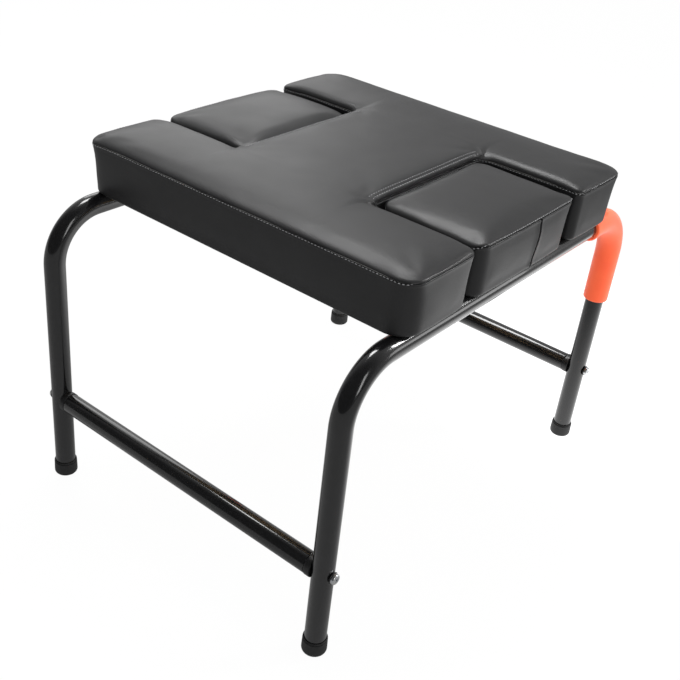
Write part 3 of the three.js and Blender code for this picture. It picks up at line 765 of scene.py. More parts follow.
main_plan = {
    "x": sorted({*lines_between(-PAD_X, -BRIDGE_X, FINE, LOOSE),
                 *lines_between(-BRIDGE_X, BRIDGE_X, FINE, FINE),
                 *lines_between(BRIDGE_X, PAD_X, LOOSE, FINE)}),
    "y": sorted({*lines_between(-PAD_Y, -NOTCH_Y, FINE, FINE),
                 *lines_between(-NOTCH_Y, NOTCH_Y, LOOSE, LOOSE),
                 *lines_between(NOTCH_Y, PAD_Y, FINE, FINE)}),
    "edges_x": [(s * PAD_X, -s) for s in (1, -1)] + [(s * BRIDGE_X, -s) for s in (1, -1)],
    "edges_y": [(s * PAD_Y, -s) for s in (1, -1)] + [(s * NOTCH_Y, s) for s in (1, -1)],
    "corners": [c for sx in (1, -1) for sy in (1, -1) for c in (
        (sx * PAD_X, sy * PAD_Y, PAD_CORNER, sx, sy, False),
        (sx * PAD_X, sy * NOTCH_Y, NOTCH_CORNER, sx, -sy, False),
        (sx * BRIDGE_X, sy * NOTCH_Y, ROOT_CORNER, -sx, sy, True))],
    "inside": lambda x, y: (abs(x) < BRIDGE_X) | (abs(y) > NOTCH_Y),
    "end": ((PAD_Y + NOTCH_Y) / 2, (PAD_Y - NOTCH_Y) / 2),
    "seam": 61.5,
    "sag": {1: 0.5, -1: 2.2},
}
print("grid of the main pad:", len(main_plan["x"]), "by", len(main_plan["y"]), "lines")

# %% The plan of an insert pad, on the right
INSERT_X, INSERT_Y = 98.5, 100.0
OUTER_CORNER, INNER_CORNER = 14.0, 18.0
CLOSING_SEAM_Y = 16.0
SEAM_LINES = (-2.6, -1.9, -1.4, -1.0, -.5, 0, .5, 1.0, 1.4, 1.9, 2.6)
SEAM_MARGIN = 4

insert_plan = {
    "x": lines_between(INSERT_X, PAD_X, FINE, FINE),
    "y": sorted(lines_between(-INSERT_Y, CLOSING_SEAM_Y - SEAM_MARGIN, FINE, [0])
                + [CLOSING_SEAM_Y + d for d in SEAM_LINES]
                + lines_between(CLOSING_SEAM_Y + SEAM_MARGIN, INSERT_Y, [0], FINE)),
    "edges_x": [(PAD_X, -1), (INSERT_X, 1)],
    "edges_y": [(INSERT_Y, -1), (-INSERT_Y, 1)],
    "corners": [(x, sy * INSERT_Y, radius, sx, sy, False)
                for x, sx, radius in ((PAD_X, 1, OUTER_CORNER), (INSERT_X, -1, INNER_CORNER))
                for sy in (1, -1)],
    "inside": lambda x, y: (x > INSERT_X) & (x < PAD_X) & (abs(y) < INSERT_Y),
    "end": (0.0, INSERT_Y),
    "seam": 61.0,
    "sag": {1: 0.5},
}
print("grid of an insert pad:", len(insert_plan["x"]), "by", len(insert_plan["y"]), "lines")

# %% [markdown]
# ## The shape of the upholstery
# The photograph shows two kinds of edge. On the faces that look along X the top panel meets the side
# in a crisp seam with a small lip, and the foam climbs from it over 20 to 30 mm, like a pillow. On the
# long faces the top rolls over in a round shoulder that ends upright at the seam. The seam line of an
# insert dips along these sides. The corners of each bar are pulled down a little by the stretched
# vinyl, and the inner corners of the notches dimple. Height functions in plan say this directly.

# %% Profiles of the two kinds of edge
CROWN_POWER = 2.2
ROLL_REACH, DOME_SHARE = 55.5, 0.28
SEAM_LIP, LIP_WIDTH = 0.10, 0.6
BEAD, BEAD_PLACE, BEAD_WIDTH = 0.05, 1.4, 0.8


def crown_profile(level, reach):
    """From a crisp seam at level 1: a small rolled bead, then a climb to the flat top at level 0."""
    away = (1 - level) * reach
    lip = 1 - np.exp(-away / LIP_WIDTH)
    bead = BEAD * np.exp(-((away - BEAD_PLACE) / BEAD_WIDTH) ** 2)
    return SEAM_LIP * lip + bead + (1 - SEAM_LIP) * (1 - level ** CROWN_POWER)


def roll_profile(level, width):
    """A round shoulder of this width that ends upright at the seam, and a long soft dome behind it."""
    shoulder = np.clip((1 - level) * ROLL_REACH / width, 0, 1)
    return (1 - DOME_SHARE) * np.sqrt(1 - (1 - shoulder) ** 2) + DOME_SHARE * (1 - level ** 2)


print("share of the crown's height 5 mm from its seam:", round(float(crown_profile(1 - 5 / 30, 30)), 2))


# %% Join the two profiles round a corner
CORNER_STEPS, EDGE_STEPS = 40, 20
INNER_POWER = 2.3


def levels(distance, reach):
    return np.clip(1 - distance / reach, 0, 1)


def corner_levels(level_x, level_y, reach_x, reach_y, radius):
    """Joins the levels of two edges that meet at a rounded corner, so no ridge runs in from the corner."""
    turn = np.radians(np.linspace(0, 90, CORNER_STEPS))
    short_x, short_y = radius / reach_x, radius / reach_y
    edge_x = np.concatenate([
        np.ones(EDGE_STEPS), 1 - radius * (1 - np.cos(turn)) / reach_x,
        np.linspace(1 - short_x, 0, EDGE_STEPS)])
    edge_y = np.concatenate([
        np.linspace(0, 1 - short_y, EDGE_STEPS), 1 - radius * (1 - np.sin(turn)) / reach_y,
        np.ones(EDGE_STEPS)])
    outline = np.interp(np.arctan2(level_y, level_x), np.arctan2(edge_y, edge_x), np.hypot(edge_x, edge_y))
    outer = np.clip(np.hypot(level_x, level_y) / outline, 0, 1)
    inner = np.clip((level_x ** INNER_POWER + level_y ** INNER_POWER) ** (1 / INNER_POWER), 0, 1)
    share = smooth(outer)
    level = share * outer + (1 - share) * inner
    crown_share = level_x ** 2 / np.maximum(level_x ** 2 + level_y ** 2, 1e-9)
    return level, crown_share


middle_level, _ = corner_levels(np.array([0.5]), np.array([0.5]), 30, 30, 10)
print("level half way in from both edges of a corner:", round(float(middle_level[0]), 2))

# %% Height of the main pad's top above its seam
CROWN_HEIGHT, CROWN_REACH = 10.0, 30.0
OUTER_ROLL, NOTCH_ROLL, WALL_REACH = 23.0, 11.0, 12.0
TOP_DOME = 1.3
BAR_TIP_X = 160
CORNER_DIMPLE, DIMPLE_REACH = 1.3, 13
FELLED_ROWS, FELLED_DEPTHS, FELLED_WIDTHS, FELLED_FADE = (2.3, 6.3), (0.35, 0.45), (0.6, 1.1), 8


def felled_rows(gx, gy):
    """Depth of the two rows that are sewn down on the top panel beside each notch."""
    beside = smooth((NOTCH_Y - np.abs(gy)) / FELLED_FADE) * (np.abs(gx) < BRIDGE_X)
    felled = sum(depth * np.exp(-((BRIDGE_X - np.abs(gx) - row) / width) ** 2)
                 for row, depth, width in zip(FELLED_ROWS, FELLED_DEPTHS, FELLED_WIDTHS))
    return felled * beside


def main_height(gx, gy):
    x, y = (np.abs(v) for v in rounded(gx, gy, main_plan["corners"], np.zeros_like(gx)))
    notch_y = np.where(np.abs(gx) > BAR_TIP_X, y, np.abs(gy))
    across = np.maximum(BRIDGE_X - np.abs(gx), 0) / WALL_REACH
    along = np.maximum(notch_y - NOTCH_Y, 0) / ROLL_REACH
    outer_y, inner_y = levels(PAD_Y - y, ROLL_REACH), np.clip(1 - np.hypot(across, along), 0, 1)
    level_x = levels(PAD_X - x, CROWN_REACH)
    height = np.ones_like(x)
    for level_y, radius, width, here in ((outer_y, PAD_CORNER, OUTER_ROLL, outer_y >= inner_y),
                                         (inner_y, NOTCH_CORNER, NOTCH_ROLL, outer_y < inner_y)):
        level, share = corner_levels(level_x, level_y, CROWN_REACH, ROLL_REACH, radius)
        joined = share * crown_profile(level, CROWN_REACH) + (1 - share) * roll_profile(level, width)
        height = np.where(here, joined, height)
    dome = TOP_DOME * (1 - (x / PAD_X) ** 2) * (1 - (y / PAD_Y) ** 2)
    root = np.hypot(np.abs(gx) - BRIDGE_X, np.abs(gy) - NOTCH_Y)
    height = (CROWN_HEIGHT + dome) * height
    dimple = CORNER_DIMPLE * np.exp(-(root / DIMPLE_REACH) ** 2) * np.minimum(height / 4, 1)
    return height - dimple - felled_rows(gx, gy)


print("height of the bridge above the seam:", round(float(main_height(np.zeros(1), np.zeros(1))[0]), 2), "mm")

# %% Height of an insert pad's top, and the dip of its seam
INSERT_CROWN, LONG_SIDE_DIP = 8.0, 5.0
INSERT_CROWN_REACHES = {"outer": 26, "inner": 20}
INSERT_ROLL_INNER, INSERT_ROLL_OUTER = 13.0, 21.0
ROLL_CHANGE_MARGIN = 20


def insert_shape(gx, gy):
    """Height of an insert's top above its seam, and how far the seam dips along its long sides."""
    x, y = rounded(gx, gy, insert_plan["corners"], np.zeros_like(gx))
    near_out = PAD_X - x < x - INSERT_X
    towards_end = smooth((x - INSERT_X - ROLL_CHANGE_MARGIN) / (PAD_X - INSERT_X - 2 * ROLL_CHANGE_MARGIN))
    width = INSERT_ROLL_INNER + (INSERT_ROLL_OUTER - INSERT_ROLL_INNER) * towards_end
    level_y = levels(INSERT_Y - np.abs(y), ROLL_REACH)
    height, dip = np.ones_like(x), np.zeros_like(x)
    for edge, reach, radius, here in (
            (PAD_X - x, INSERT_CROWN_REACHES["outer"], OUTER_CORNER, near_out),
            (x - INSERT_X, INSERT_CROWN_REACHES["inner"], INNER_CORNER, ~near_out)):
        level, share = corner_levels(levels(edge, reach), level_y, reach, ROLL_REACH, radius)
        dip_here = LONG_SIDE_DIP * smooth(1 - 2 * share)
        rolled = roll_profile(level, width)
        crowned = share * crown_profile(level, reach) + (1 - share) * rolled
        joined = INSERT_CROWN * crowned + dip_here * rolled
        height, dip = np.where(here, joined, height), np.where(here, dip_here, dip)
    through = np.clip((x - INSERT_X) / (PAD_X - INSERT_X), 0, 1)
    dome = TOP_DOME * (1 - (y / INSERT_Y) ** 2) * np.sin(np.pi * through)
    return height + dome * np.minimum(height / INSERT_CROWN, 1), dip


main_plan["height"], main_plan["dip"] = main_height, lambda x, y: 0
insert_plan["height"], insert_plan["dip"] = (
    (lambda x, y: insert_shape(x, y)[0]), (lambda x, y: insert_shape(x, y)[1]))
middle = np.array([(INSERT_X + PAD_X) / 2])
print("height of an insert above its seam:", round(float(insert_shape(middle, np.zeros(1))[0][0]), 2), "mm")

# %% How far the seam hangs
SAG_REACH = 30.0


def seam_drop(plan, x, y):
    """How far the stretched cover pulls the seam and the top down, mostly at the outer corners."""
    drop = np.zeros_like(x)
    for cx, cy, _, _, _, hollow in plan["corners"]:
        if not hollow:
            depth = plan["sag"][1 if cx > 0 else -1]
            drop = np.maximum(drop, depth * np.exp(-(np.hypot(x - cx, y - cy) / SAG_REACH) ** 2))
    return drop + plan["dip"](x, y)


print("drop at the left corners:", seam_drop(main_plan, np.array([-PAD_X]), np.array([PAD_Y])), "mm")

# %% [markdown]
# ## The sides of a pad
# The side of a cover is a band of vinyl. It stands almost upright, bulges a little under the seam and
# turns in round the board at its base. The seam itself is a groove with a ridge under it. Each row of
# the side is the outline of the plan, moved in by the right amount at its height. Below the seam
# nothing pinches the corners, so they grow rounder there, and the short ends swell between them.

# %% How far the side stands in
BASE_DRAW_IN, SEAM_BULGE, BASE_ROUND = 1.2, 0.6, 3.5
SEAM_GROOVE, GROOVE_WIDTH = 2.3, 0.5
RIDGE, RIDGE_PLACE, RIDGE_WIDTH = 0.2, 2.2, 1.2


def side_inset(share):
    """How far the side lies inside the outline, from its base at 0 to its seam at 1."""
    return BASE_DRAW_IN * (1 - share) ** 2 - SEAM_BULGE * share ** 3


def seam_inset(depth):
    """The groove of the seam, at a depth in millimetres below it: a ridge, then the pinched thread line."""
    groove = SEAM_GROOVE * np.exp(-(depth / GROOVE_WIDTH) ** 2)
    return groove - RIDGE * np.exp(-((depth - RIDGE_PLACE) / RIDGE_WIDTH) ** 2)


print("the side stands in by", side_inset(0), "mm at its base and by", side_inset(1), "mm at its seam")

# %% Heights of the rows, from the base to the seam
BASE_TURNS = 7
SIDE_HEIGHTS = [4.5, 6.5, 9, 12, 16, 20, 24, 28, 32, 36, 40, 44, 47, 50]
SEAM_DEPTHS = [8, 6, 5, 4.2, 3.5, 2.9, 2.3, 1.8, 1.35, 1.0, 0.7, 0.4, 0.2]


def side_rows(plan, skin):
    """Rows of the side from its base to the seam, as (share of height, inset)."""
    rise = plan["seam"] - skin
    rows = []
    for a in np.linspace(0, 90, BASE_TURNS)[:-1]:
        low = BASE_ROUND * (1 - math.sin(math.radians(a)))
        up = BASE_ROUND * (1 - math.cos(math.radians(a)))
        rows.append((up / rise, side_inset(up / rise) + low))
    for up in [*SIDE_HEIGHTS, *(rise - d for d in SEAM_DEPTHS)]:
        rows.append((up / rise, side_inset(up / rise) + seam_inset(rise - up)))
    return rows


print("rows of a side:", len(side_rows(main_plan, 0.0)))

# %% Swelling ends, and corners that grow below the seam
END_SWELL, SWELL_FADE = 1.8, 30
CORNER_GROWTH = 0.4


def swollen(plan, points):
    """Lets the short ends swell between their corners, where no corner holds the foam back."""
    middle, half = plan["end"]
    swell = END_SWELL * np.clip(1 - ((np.abs(points[:, 1]) - middle) / half) ** 2, 0, 1)
    reach = smooth((np.abs(points[:, 0]) - PAD_X + SWELL_FADE) / SWELL_FADE)
    points[:, 0] += np.sign(points[:, 0]) * swell * reach
    return points


def plan_points(plan, x, y, inset, share=1.0):
    """Places in plan of a row at this share of the side's height. Below the seam the corners are rounder."""
    growth = 1 + CORNER_GROWTH * (1 - share ** 4)
    corners = [(cx, cy, radius if hollow else radius * growth, sx, sy, hollow)
               for cx, cy, radius, sx, sy, hollow in plan["corners"]]
    return rounded(drifted(x, plan["edges_x"], inset), drifted(y, plan["edges_y"], inset), corners, inset)


print("corner radius at the base of the main pad:", round(PAD_CORNER * (1 + CORNER_GROWTH), 1), "mm")


# %% The quads of a plan, and the loop round them
def grid_quads(plan):
    """Grid coordinates, the quads inside the outline, and the middle of each quad."""
    gx, gy = np.meshgrid(plan["x"], plan["y"], indexing="ij")
    columns = gy.shape[1]
    i, j = np.meshgrid(np.arange(gx.shape[0] - 1), np.arange(columns - 1), indexing="ij")
    first, beyond = i * columns + j, (i + 1) * columns + j
    quads = np.stack([first, beyond, beyond + 1, first + 1], -1)
    middle_x = (gx[:-1, :-1] + gx[1:, 1:]) / 2
    middle_y = (gy[:-1, :-1] + gy[1:, 1:]) / 2
    keep = plan["inside"](middle_x, middle_y)
    return gx.ravel(), gy.ravel(), quads[keep], middle_x[keep], middle_y[keep]


def boundary_loop(quads):
    """The corner numbers round the edge of a set of quads, in order."""
    sides = {}
    for q in quads:
        for a, b in zip(q, np.roll(q, -1)):
            sides[(a, b)] = True
    following = {a: b for a, b in sides if (b, a) not in sides}
    loop = [next(iter(following))]
    while following[loop[-1]] != loop[0]:
        loop.append(following[loop[-1]])
    return np.array(loop)


def main_border(x, y):
    outer = np.minimum(PAD_X - abs(x), PAD_Y - abs(y))
    return np.minimum(outer, np.maximum(BRIDGE_X - abs(x), abs(y) - NOTCH_Y))


def insert_border(x, y):
    return np.minimum(np.minimum(PAD_X - x, x - INSERT_X), INSERT_Y - abs(y))


main_plan["border"], insert_plan["border"] = main_border, insert_border
print("quads on top of the main pad:", len(grid_quads(main_plan)[2]))

# %% [markdown]
# ## The closed skin of a pad
# A skin is made of three parts that share their edges: the top, the band of rows round the side, and
# the bottom. For a cover the bottom is left open inside the hem, as upholstery is under its board.
# Foam uses the same skin, a little smaller all round, so it always fits its cover.

# %% Build the skin
LIP_RISE = 0.3


def top_points(plan, gx, gy, seam_z, skin):
    """The top, drawn in to the bottom of the seam's groove where its height is still near zero."""
    height = plan["height"](gx, gy)
    deepest = side_inset(1) + seam_inset(0.0) + skin
    inset = deepest - SEAM_GROOVE * (1 - np.exp(-np.maximum(height, 0) / LIP_RISE))
    x, y = plan_points(plan, gx, gy, inset)
    return np.stack([x, y, seam_z + height - seam_drop(plan, gx, gy)], -1)


def side_points(plan, lx, ly, seam_z, floor, skin, rows):
    """One ring of points for each row of the side."""
    rings = []
    for share, row_inset in rows:
        x, y = plan_points(plan, lx, ly, row_inset + skin + np.zeros_like(lx), share)
        z = floor + (seam_z - seam_drop(plan, lx, ly) - floor) * share
        rings.append(np.stack([x, y, z], -1))
    return rings


def pad_skin(plan, skin=0.0, floor=SEAT_BASE, hem=None):
    """Points and faces of a pad's outside. hem leaves the bottom open inside a border of that width."""
    gx, gy, quads, middle_x, middle_y = grid_quads(plan)
    seam_z = SEAT_BASE + plan["seam"] - skin
    loop = boundary_loop(quads)
    rows = side_rows(plan, skin)
    points = [top_points(plan, gx, gy, seam_z, skin)]
    points += side_points(plan, gx[loop], gy[loop], seam_z, floor, skin, rows)
    index = len(gx) + np.arange(len(rows) * len(loop)).reshape(len(rows), len(loop))
    bands = np.concatenate([index, loop[None, :]])
    faces = [quads]
    for low, high in zip(bands[:-1], bands[1:]):
        faces.append(np.stack([low, np.roll(low, -1), np.roll(high, -1), high], -1))
    below = len(gx) + index.size
    base_x, base_y = plan_points(plan, gx, gy, rows[0][1] + skin + np.zeros_like(gx), 0.0)
    near = plan["border"](middle_x, middle_y) < hem if hem else np.ones(len(quads), bool)
    rim = dict(zip((loop + below).tolist(), index[0].tolist()))
    bottom = np.vectorize(lambda v: rim.get(v, v))(quads[near][:, ::-1] + below)
    points.append(np.stack([base_x, base_y, np.full_like(base_x, floor)], -1))
    faces.append(bottom)
    points, faces = swollen(plan, np.concatenate(points)), np.concatenate(faces)
    used, numbers = np.unique(faces, return_inverse=True)
    return points[used], numbers.reshape(faces.shape)


print("faces of the main pad's skin:", len(pad_skin(main_plan)[1]))

# %% [markdown]
# ## Cloth that swells over foam
# A cover is sewn a little small, so the foam inside blows it out between the seams. Blender's cloth does
# the same with a pressure inside. An uneven grid makes bad cloth, since the long faces stretch before
# the short ones do, so the cloth is a copy with even faces. It is held at the base, where it is stapled,
# and at the seam. Each point of the real cover then makes the move of the cloth nearest to it. The move
# is capped, as foam gives way and air doesn't.

# %% Blow a copy up
SWELL_VOXEL, SWELL_FRAMES, SWELL_PRESSURE = 7.0, 20, 4.0
HELD_BASE, HELD_SEAM, HELD_BORDER = 9.0, 4.0, 3


def places(piece):
    return np.array([v.co / MM for v in piece.data.vertices])


def held_points(plan, at):
    """The points that the staples and the seam hold."""
    seam = SEAT_BASE + plan["seam"] - seam_drop(plan, at[:, 0], at[:, 1])
    on_edge = plan["border"](at[:, 0], at[:, 1]) < HELD_BORDER
    return (at[:, 2] < SEAT_BASE + HELD_BASE) | (on_edge & (np.abs(at[:, 2] - seam) < HELD_SEAM))


def blown_up(plan):
    """Places of an even copy of the pad before its cover swells, and how far each of them moves."""
    coarse = make_mesh("swelling", *pad_skin(plan, skin=1.0))
    evened = coarse.modifiers.new("even faces", "REMESH")
    evened.mode, evened.voxel_size = "VOXEL", SWELL_VOXEL * MM
    apply_modifiers(coarse)
    start = places(coarse)
    group = coarse.vertex_groups.new(name="held")
    group.add(np.flatnonzero(held_points(plan, start)).tolist(), 1.0, "REPLACE")
    cloth = coarse.modifiers.new("swell", "CLOTH")
    cloth.settings.vertex_group_mass = "held"
    cloth.settings.use_pressure = True
    cloth.settings.uniform_pressure_force = SWELL_PRESSURE
    cloth.settings.effector_weights.gravity = 0
    cloth.point_cache.frame_start, cloth.point_cache.frame_end = 1, SWELL_FRAMES
    for frame_number in range(1, SWELL_FRAMES + 1):
        bpy.context.scene.frame_set(frame_number)
    apply_modifiers(coarse)
    moved = places(coarse) - start
    bpy.data.objects.remove(coarse)
    bpy.context.scene.frame_set(1)
    return start, moved


print("frames of swelling cloth:", SWELL_FRAMES)

# %% Carry the swelling over to the cover
NEIGHBOURS, NEAR_WEIGHT, SWELL_CAP = 6, 1.0, 2.0


def swell_moves(plan, points):
    """The move of each point in millimetres, from the nearest points of the swollen copy."""
    start, moved = blown_up(plan)
    tree = kdtree.KDTree(len(start))
    for number, place in enumerate(start):
        tree.insert(place, number)
    tree.balance()
    moves = []
    for place in points:
        found = tree.find_n(place, NEIGHBOURS)
        weights = np.array([1 / (distance + NEAR_WEIGHT) ** 2 for _, _, distance in found])
        moves.append(weights @ moved[[number for _, number, _ in found]] / weights.sum())
    moves = np.array(moves)
    length = np.linalg.norm(moves, axis=1, keepdims=True)
    print("the swelling cover moved up to", round(float(length.max()), 1), "mm")
    return moves * SWELL_CAP / np.maximum(length + SWELL_CAP, 1e-6)


print("each move is capped at", SWELL_CAP, "mm")

# %% [markdown]
# ## Unevenness, creases and the closing seam
# Foam under vinyl is never quite even. Broad soft noise along the normals says so, and a noise drawn out
# upright gives the creases where the vinyl is pulled round a corner. The outer face of an insert also
# has an upright seam, where the sleeve was closed last: a deep groove between two ridges, a little bent,
# as it was sewn by hand. A bump would not show in its outline, so the points themselves move.

# %% The closing seam
CLOSING_DEPTH, CLOSING_WIDTH = 4.5, 1.25
CLOSING_RIDGE, CLOSING_RIDGE_PLACE, CLOSING_RIDGE_WIDTH = 0.5, 2.3, 0.7
CLOSING_BEND, BEND_REACH, BEND_HEIGHT, BEND_SPREAD = 3.0, 9, 0.66, 0.24
FACE_DEPTH, FACE_FADE, SEAM_FADE = 8, 3, 1.5


def closing_groove(points):
    """Presses the upright closing seam into the outer face of an insert, a little bent as it was sewn."""
    below_seam = (SEAT_BASE + insert_plan["seam"] - points[:, 2]) / SEAM_FADE
    on_face = smooth((points[:, 0] - PAD_X + FACE_DEPTH) / FACE_FADE) * smooth(below_seam)
    away = points[:, 1] - CLOSING_SEAM_Y
    groove = CLOSING_DEPTH * np.exp(-(away / CLOSING_WIDTH) ** 4)
    ridges = CLOSING_RIDGE * np.exp(-((np.abs(away) - CLOSING_RIDGE_PLACE) / CLOSING_RIDGE_WIDTH) ** 2)
    points[:, 0] -= on_face * (groove - ridges)
    height = (points[:, 2] - SEAT_BASE) / insert_plan["seam"]
    bend = CLOSING_BEND * np.exp(-((height - BEND_HEIGHT) / BEND_SPREAD) ** 2)
    points[:, 1] += on_face * np.exp(-(away / BEND_REACH) ** 2) * bend
    return points


print("the closing seam is pressed in by", CLOSING_DEPTH, "mm")

# %% Uneven foam and creased corners
UNEVEN = ((0.45, 70.0), (0.2, 24.0))
CREASE, CREASE_WIDTH, CREASE_LENGTH, CREASE_REACH = 0.3, 10.0, 60.0, 32.0
EVEN_BASE, EVEN_FADE = 8, 12


def uneven(piece, plan):
    """Moves each point along its normal, by broad noise everywhere and by creases near the corners."""
    corners = [c[:2] for c in plan["corners"] if not c[5]]
    moves = []
    for v in piece.data.vertices:
        at = v.co / MM
        move = sum(depth * noise.noise(at / size) for depth, size in UNEVEN)
        near = min(math.hypot(abs(at.x) - abs(cx), abs(at.y) - abs(cy)) for cx, cy in corners)
        upright = Vector((at.x / CREASE_WIDTH, at.y / CREASE_WIDTH, at.z / CREASE_LENGTH))
        move += CREASE * noise.noise(upright) * math.exp(-(near / CREASE_REACH) ** 2) * (1 - abs(v.normal.z))
        fade = min(max((at.z - SEAT_BASE - EVEN_BASE) / EVEN_FADE, 0), 1)
        moves.append(v.normal * move * fade * MM)
    for v, move in zip(piece.data.vertices, moves):
        v.co += move
    return piece


print("broad unevenness (depth, size) in mm:", UNEVEN)

# %% [markdown]
# ## Covers and foam
# Each cover is a real shell of vinyl 1.2 mm thick, turned in under the board as a hem, and the foam
# block lies inside it. The insert on the left is the one on the right turned half round. A Solidify
# modifier gives the shell its thickness, inwards, so that the outline stays where it was drawn.

# %% A cover and its foam
VINYL_THICKNESS, HEM_WIDTH, FILL = 1.2, 30.0, 0.9
BOARD_THICKNESS = 12
BOARD_TOP = SEAT_BASE + VINYL_THICKNESS + GAP + BOARD_THICKNESS
FOAM_SKIN = VINYL_THICKNESS + GAP


def make_cover(name, plan, body, node, turn=1, groove=False):
    points, faces = pad_skin(plan, hem=HEM_WIDTH)
    points = points + swell_moves(plan, points)
    if groove:
        points = closing_groove(points)
    cover = uneven(make_mesh(name, points * (turn, turn, 1), faces), plan)
    shell = cover.modifiers.new("shell", "SOLIDIFY")
    shell.thickness, shell.offset = VINYL_THICKNESS * MM, -1
    apply_modifiers(cover)
    finish_piece(cover, leatherette, body, [node])
    return cover


def make_foam(name, plan, body, node, turn=1, groove=False):
    points, faces = pad_skin(plan, skin=FOAM_SKIN, floor=BOARD_TOP + GAP)
    if groove:
        points = closing_groove(points)
    block = uneven(make_mesh(name, points * (turn, turn, 1), faces), plan)
    finish_piece(block, foam, body, [node])


print("foam starts", round(BOARD_TOP + GAP - SEAT_BASE, 1), "mm above the base of the cover")

# %% Cover the main pad and both inserts
covers = {"seat": make_cover("seat_cover", main_plan, "stool", "main_pad_cover")}
make_foam("seat_foam", main_plan, "stool", "main_pad_foam")
insert_plans = {"right": insert_plan, "left": {**insert_plan, "sag": {1: 2.0}}}
for side, x in SIDES.items():
    plan, body = insert_plans[side], f"insert_{side}"
    covers[side] = make_cover(f"insert_cover_{side}", plan, body, f"insert_{side}_cover", x, groove=True)
    make_foam(f"insert_foam_{side}", plan, body, f"insert_{side}_foam", x, groove=True)
print("faces of the seat cover:", len(covers["seat"].data.polygons))

# %% [markdown]
# ## Stitching
# A lockstitch shows as a row of short thread bumps, each sunk a little at its ends. The photograph
# shows one row close under the seam all round, which climbs onto the lip of the top at the faces that
# look along X. Beside the bridge that row is left out, and two rows lie on the top panel instead, where
# the panel is sewn down. Each stitch is a tiny rounded bar laid on the finished cover. A bump map can't
# cast the small shadows that make a row of stitches read as thread.

# %% The lines that the stitches follow
STITCH_DEPTH = 0.7
ROW_END_MARGIN, ROW_POINTS = 4, 90


def row_on_side(plan, depth):
    """Places along the side, at a depth in millimetres below the seam."""
    gx, gy, quads, _, _ = grid_quads(plan)
    loop = boundary_loop(quads)
    lx, ly = gx[loop], gy[loop]
    share = (plan["seam"] - depth) / plan["seam"]
    inset = side_inset(share) + seam_inset(depth)
    x, y = plan_points(plan, lx, ly, inset + np.zeros_like(lx), share)
    z = SEAT_BASE + (plan["seam"] - seam_drop(plan, lx, ly)) * share
    return swollen(plan, np.stack([x, y, z], -1))


def row_on_top(plan, side, depth):
    """Places along the top beside a notch, at a distance inside the outline."""
    gy = np.linspace(-NOTCH_Y + ROW_END_MARGIN, NOTCH_Y - ROW_END_MARGIN, ROW_POINTS)
    gx = np.full_like(gy, side * (BRIDGE_X - depth))
    x, y = plan_points(plan, gx, gy, side_inset(1) + np.zeros_like(gx))
    return np.stack([x, y, SEAT_BASE + plan["seam"] + plan["height"](gx, gy) - seam_drop(plan, gx, gy)], -1)


def outward_of(row):
    """The level direction out of a closed row at each of its places."""
    ahead = np.roll(row, -1, 0) - np.roll(row, 1, 0)
    out = np.stack([ahead[:, 1], -ahead[:, 0], np.zeros(len(row))], -1)
    return out / np.linalg.norm(out, axis=1, keepdims=True)


def on_cover(cover, path):
    """The nearest places on the finished cover, with its outward directions."""
    found = [cover.closest_point_on_mesh(place * MM) for place in path]
    return np.array([at / MM for _, at, _, _ in found]), np.array([normal for _, _, normal, _ in found])


def beside_bridge(at):
    """The inner walls of the notches, where the rows lie on the top panel instead."""
    return abs(at[0]) < BRIDGE_X + 2 and abs(at[1]) < NOTCH_Y - 16


print("places along the row round the seat:", len(row_on_side(main_plan, STITCH_DEPTH)))

# %% Lay stitches along a line
STITCH_PITCH, STITCH_LENGTH, STITCH_RADIUS, STITCH_LIFT = 4.2, 2.4, 0.4, 0.2
STITCH_PROFILE = [(-0.5, 0.0), (-0.47, 0.6), (-0.35, 0.95), (0.35, 0.95), (0.47, 0.6), (0.5, 0.0)]
STITCH_SIDES = 8


def along_path(run, path, s):
    return np.array([np.interp(s, run, path[:, i]) for i in range(3)])


def stitches(path, outward, closed, bare=lambda at: False):
    """Small rounded bars along a path. outward is the way out of the surface, bare says where none go."""
    if closed:
        path, outward = np.vstack([path, path[:1]]), np.vstack([outward, outward[:1]])
    run = np.concatenate([[0], np.cumsum(np.linalg.norm(np.diff(path, axis=0), axis=1))])
    count = int(run[-1] // STITCH_PITCH)
    angles = np.linspace(0, 2 * np.pi, STITCH_SIDES, endpoint=False)
    quads = grid_faces(len(STITCH_PROFILE), STITCH_SIDES)
    points, faces = [], []
    for s in (np.arange(count) + 0.5) * run[-1] / count:
        at = along_path(run, path, s)
        if bare(at):
            continue
        faces.append(quads + len(points))
        ahead = along_path(run, path, s + 1) - along_path(run, path, s - 1)
        ahead /= np.linalg.norm(ahead)
        out = along_path(run, outward, s)
        out -= ahead * (out @ ahead)
        out /= np.linalg.norm(out)
        across = np.cross(ahead, out)
        for t, r in STITCH_PROFILE:
            for a in angles:
                points.append(at + ahead * t * STITCH_LENGTH + STITCH_RADIUS * r * (
                    across * math.cos(a) + out * math.sin(a)) + out * STITCH_LIFT)
    return points, np.concatenate(faces)


print("stitches in 100 mm:", int(100 // STITCH_PITCH))

# %% Sew the three pads
LIP_RISE_AT_END, LIP_INSET_AT_END = 1.9, 0.9


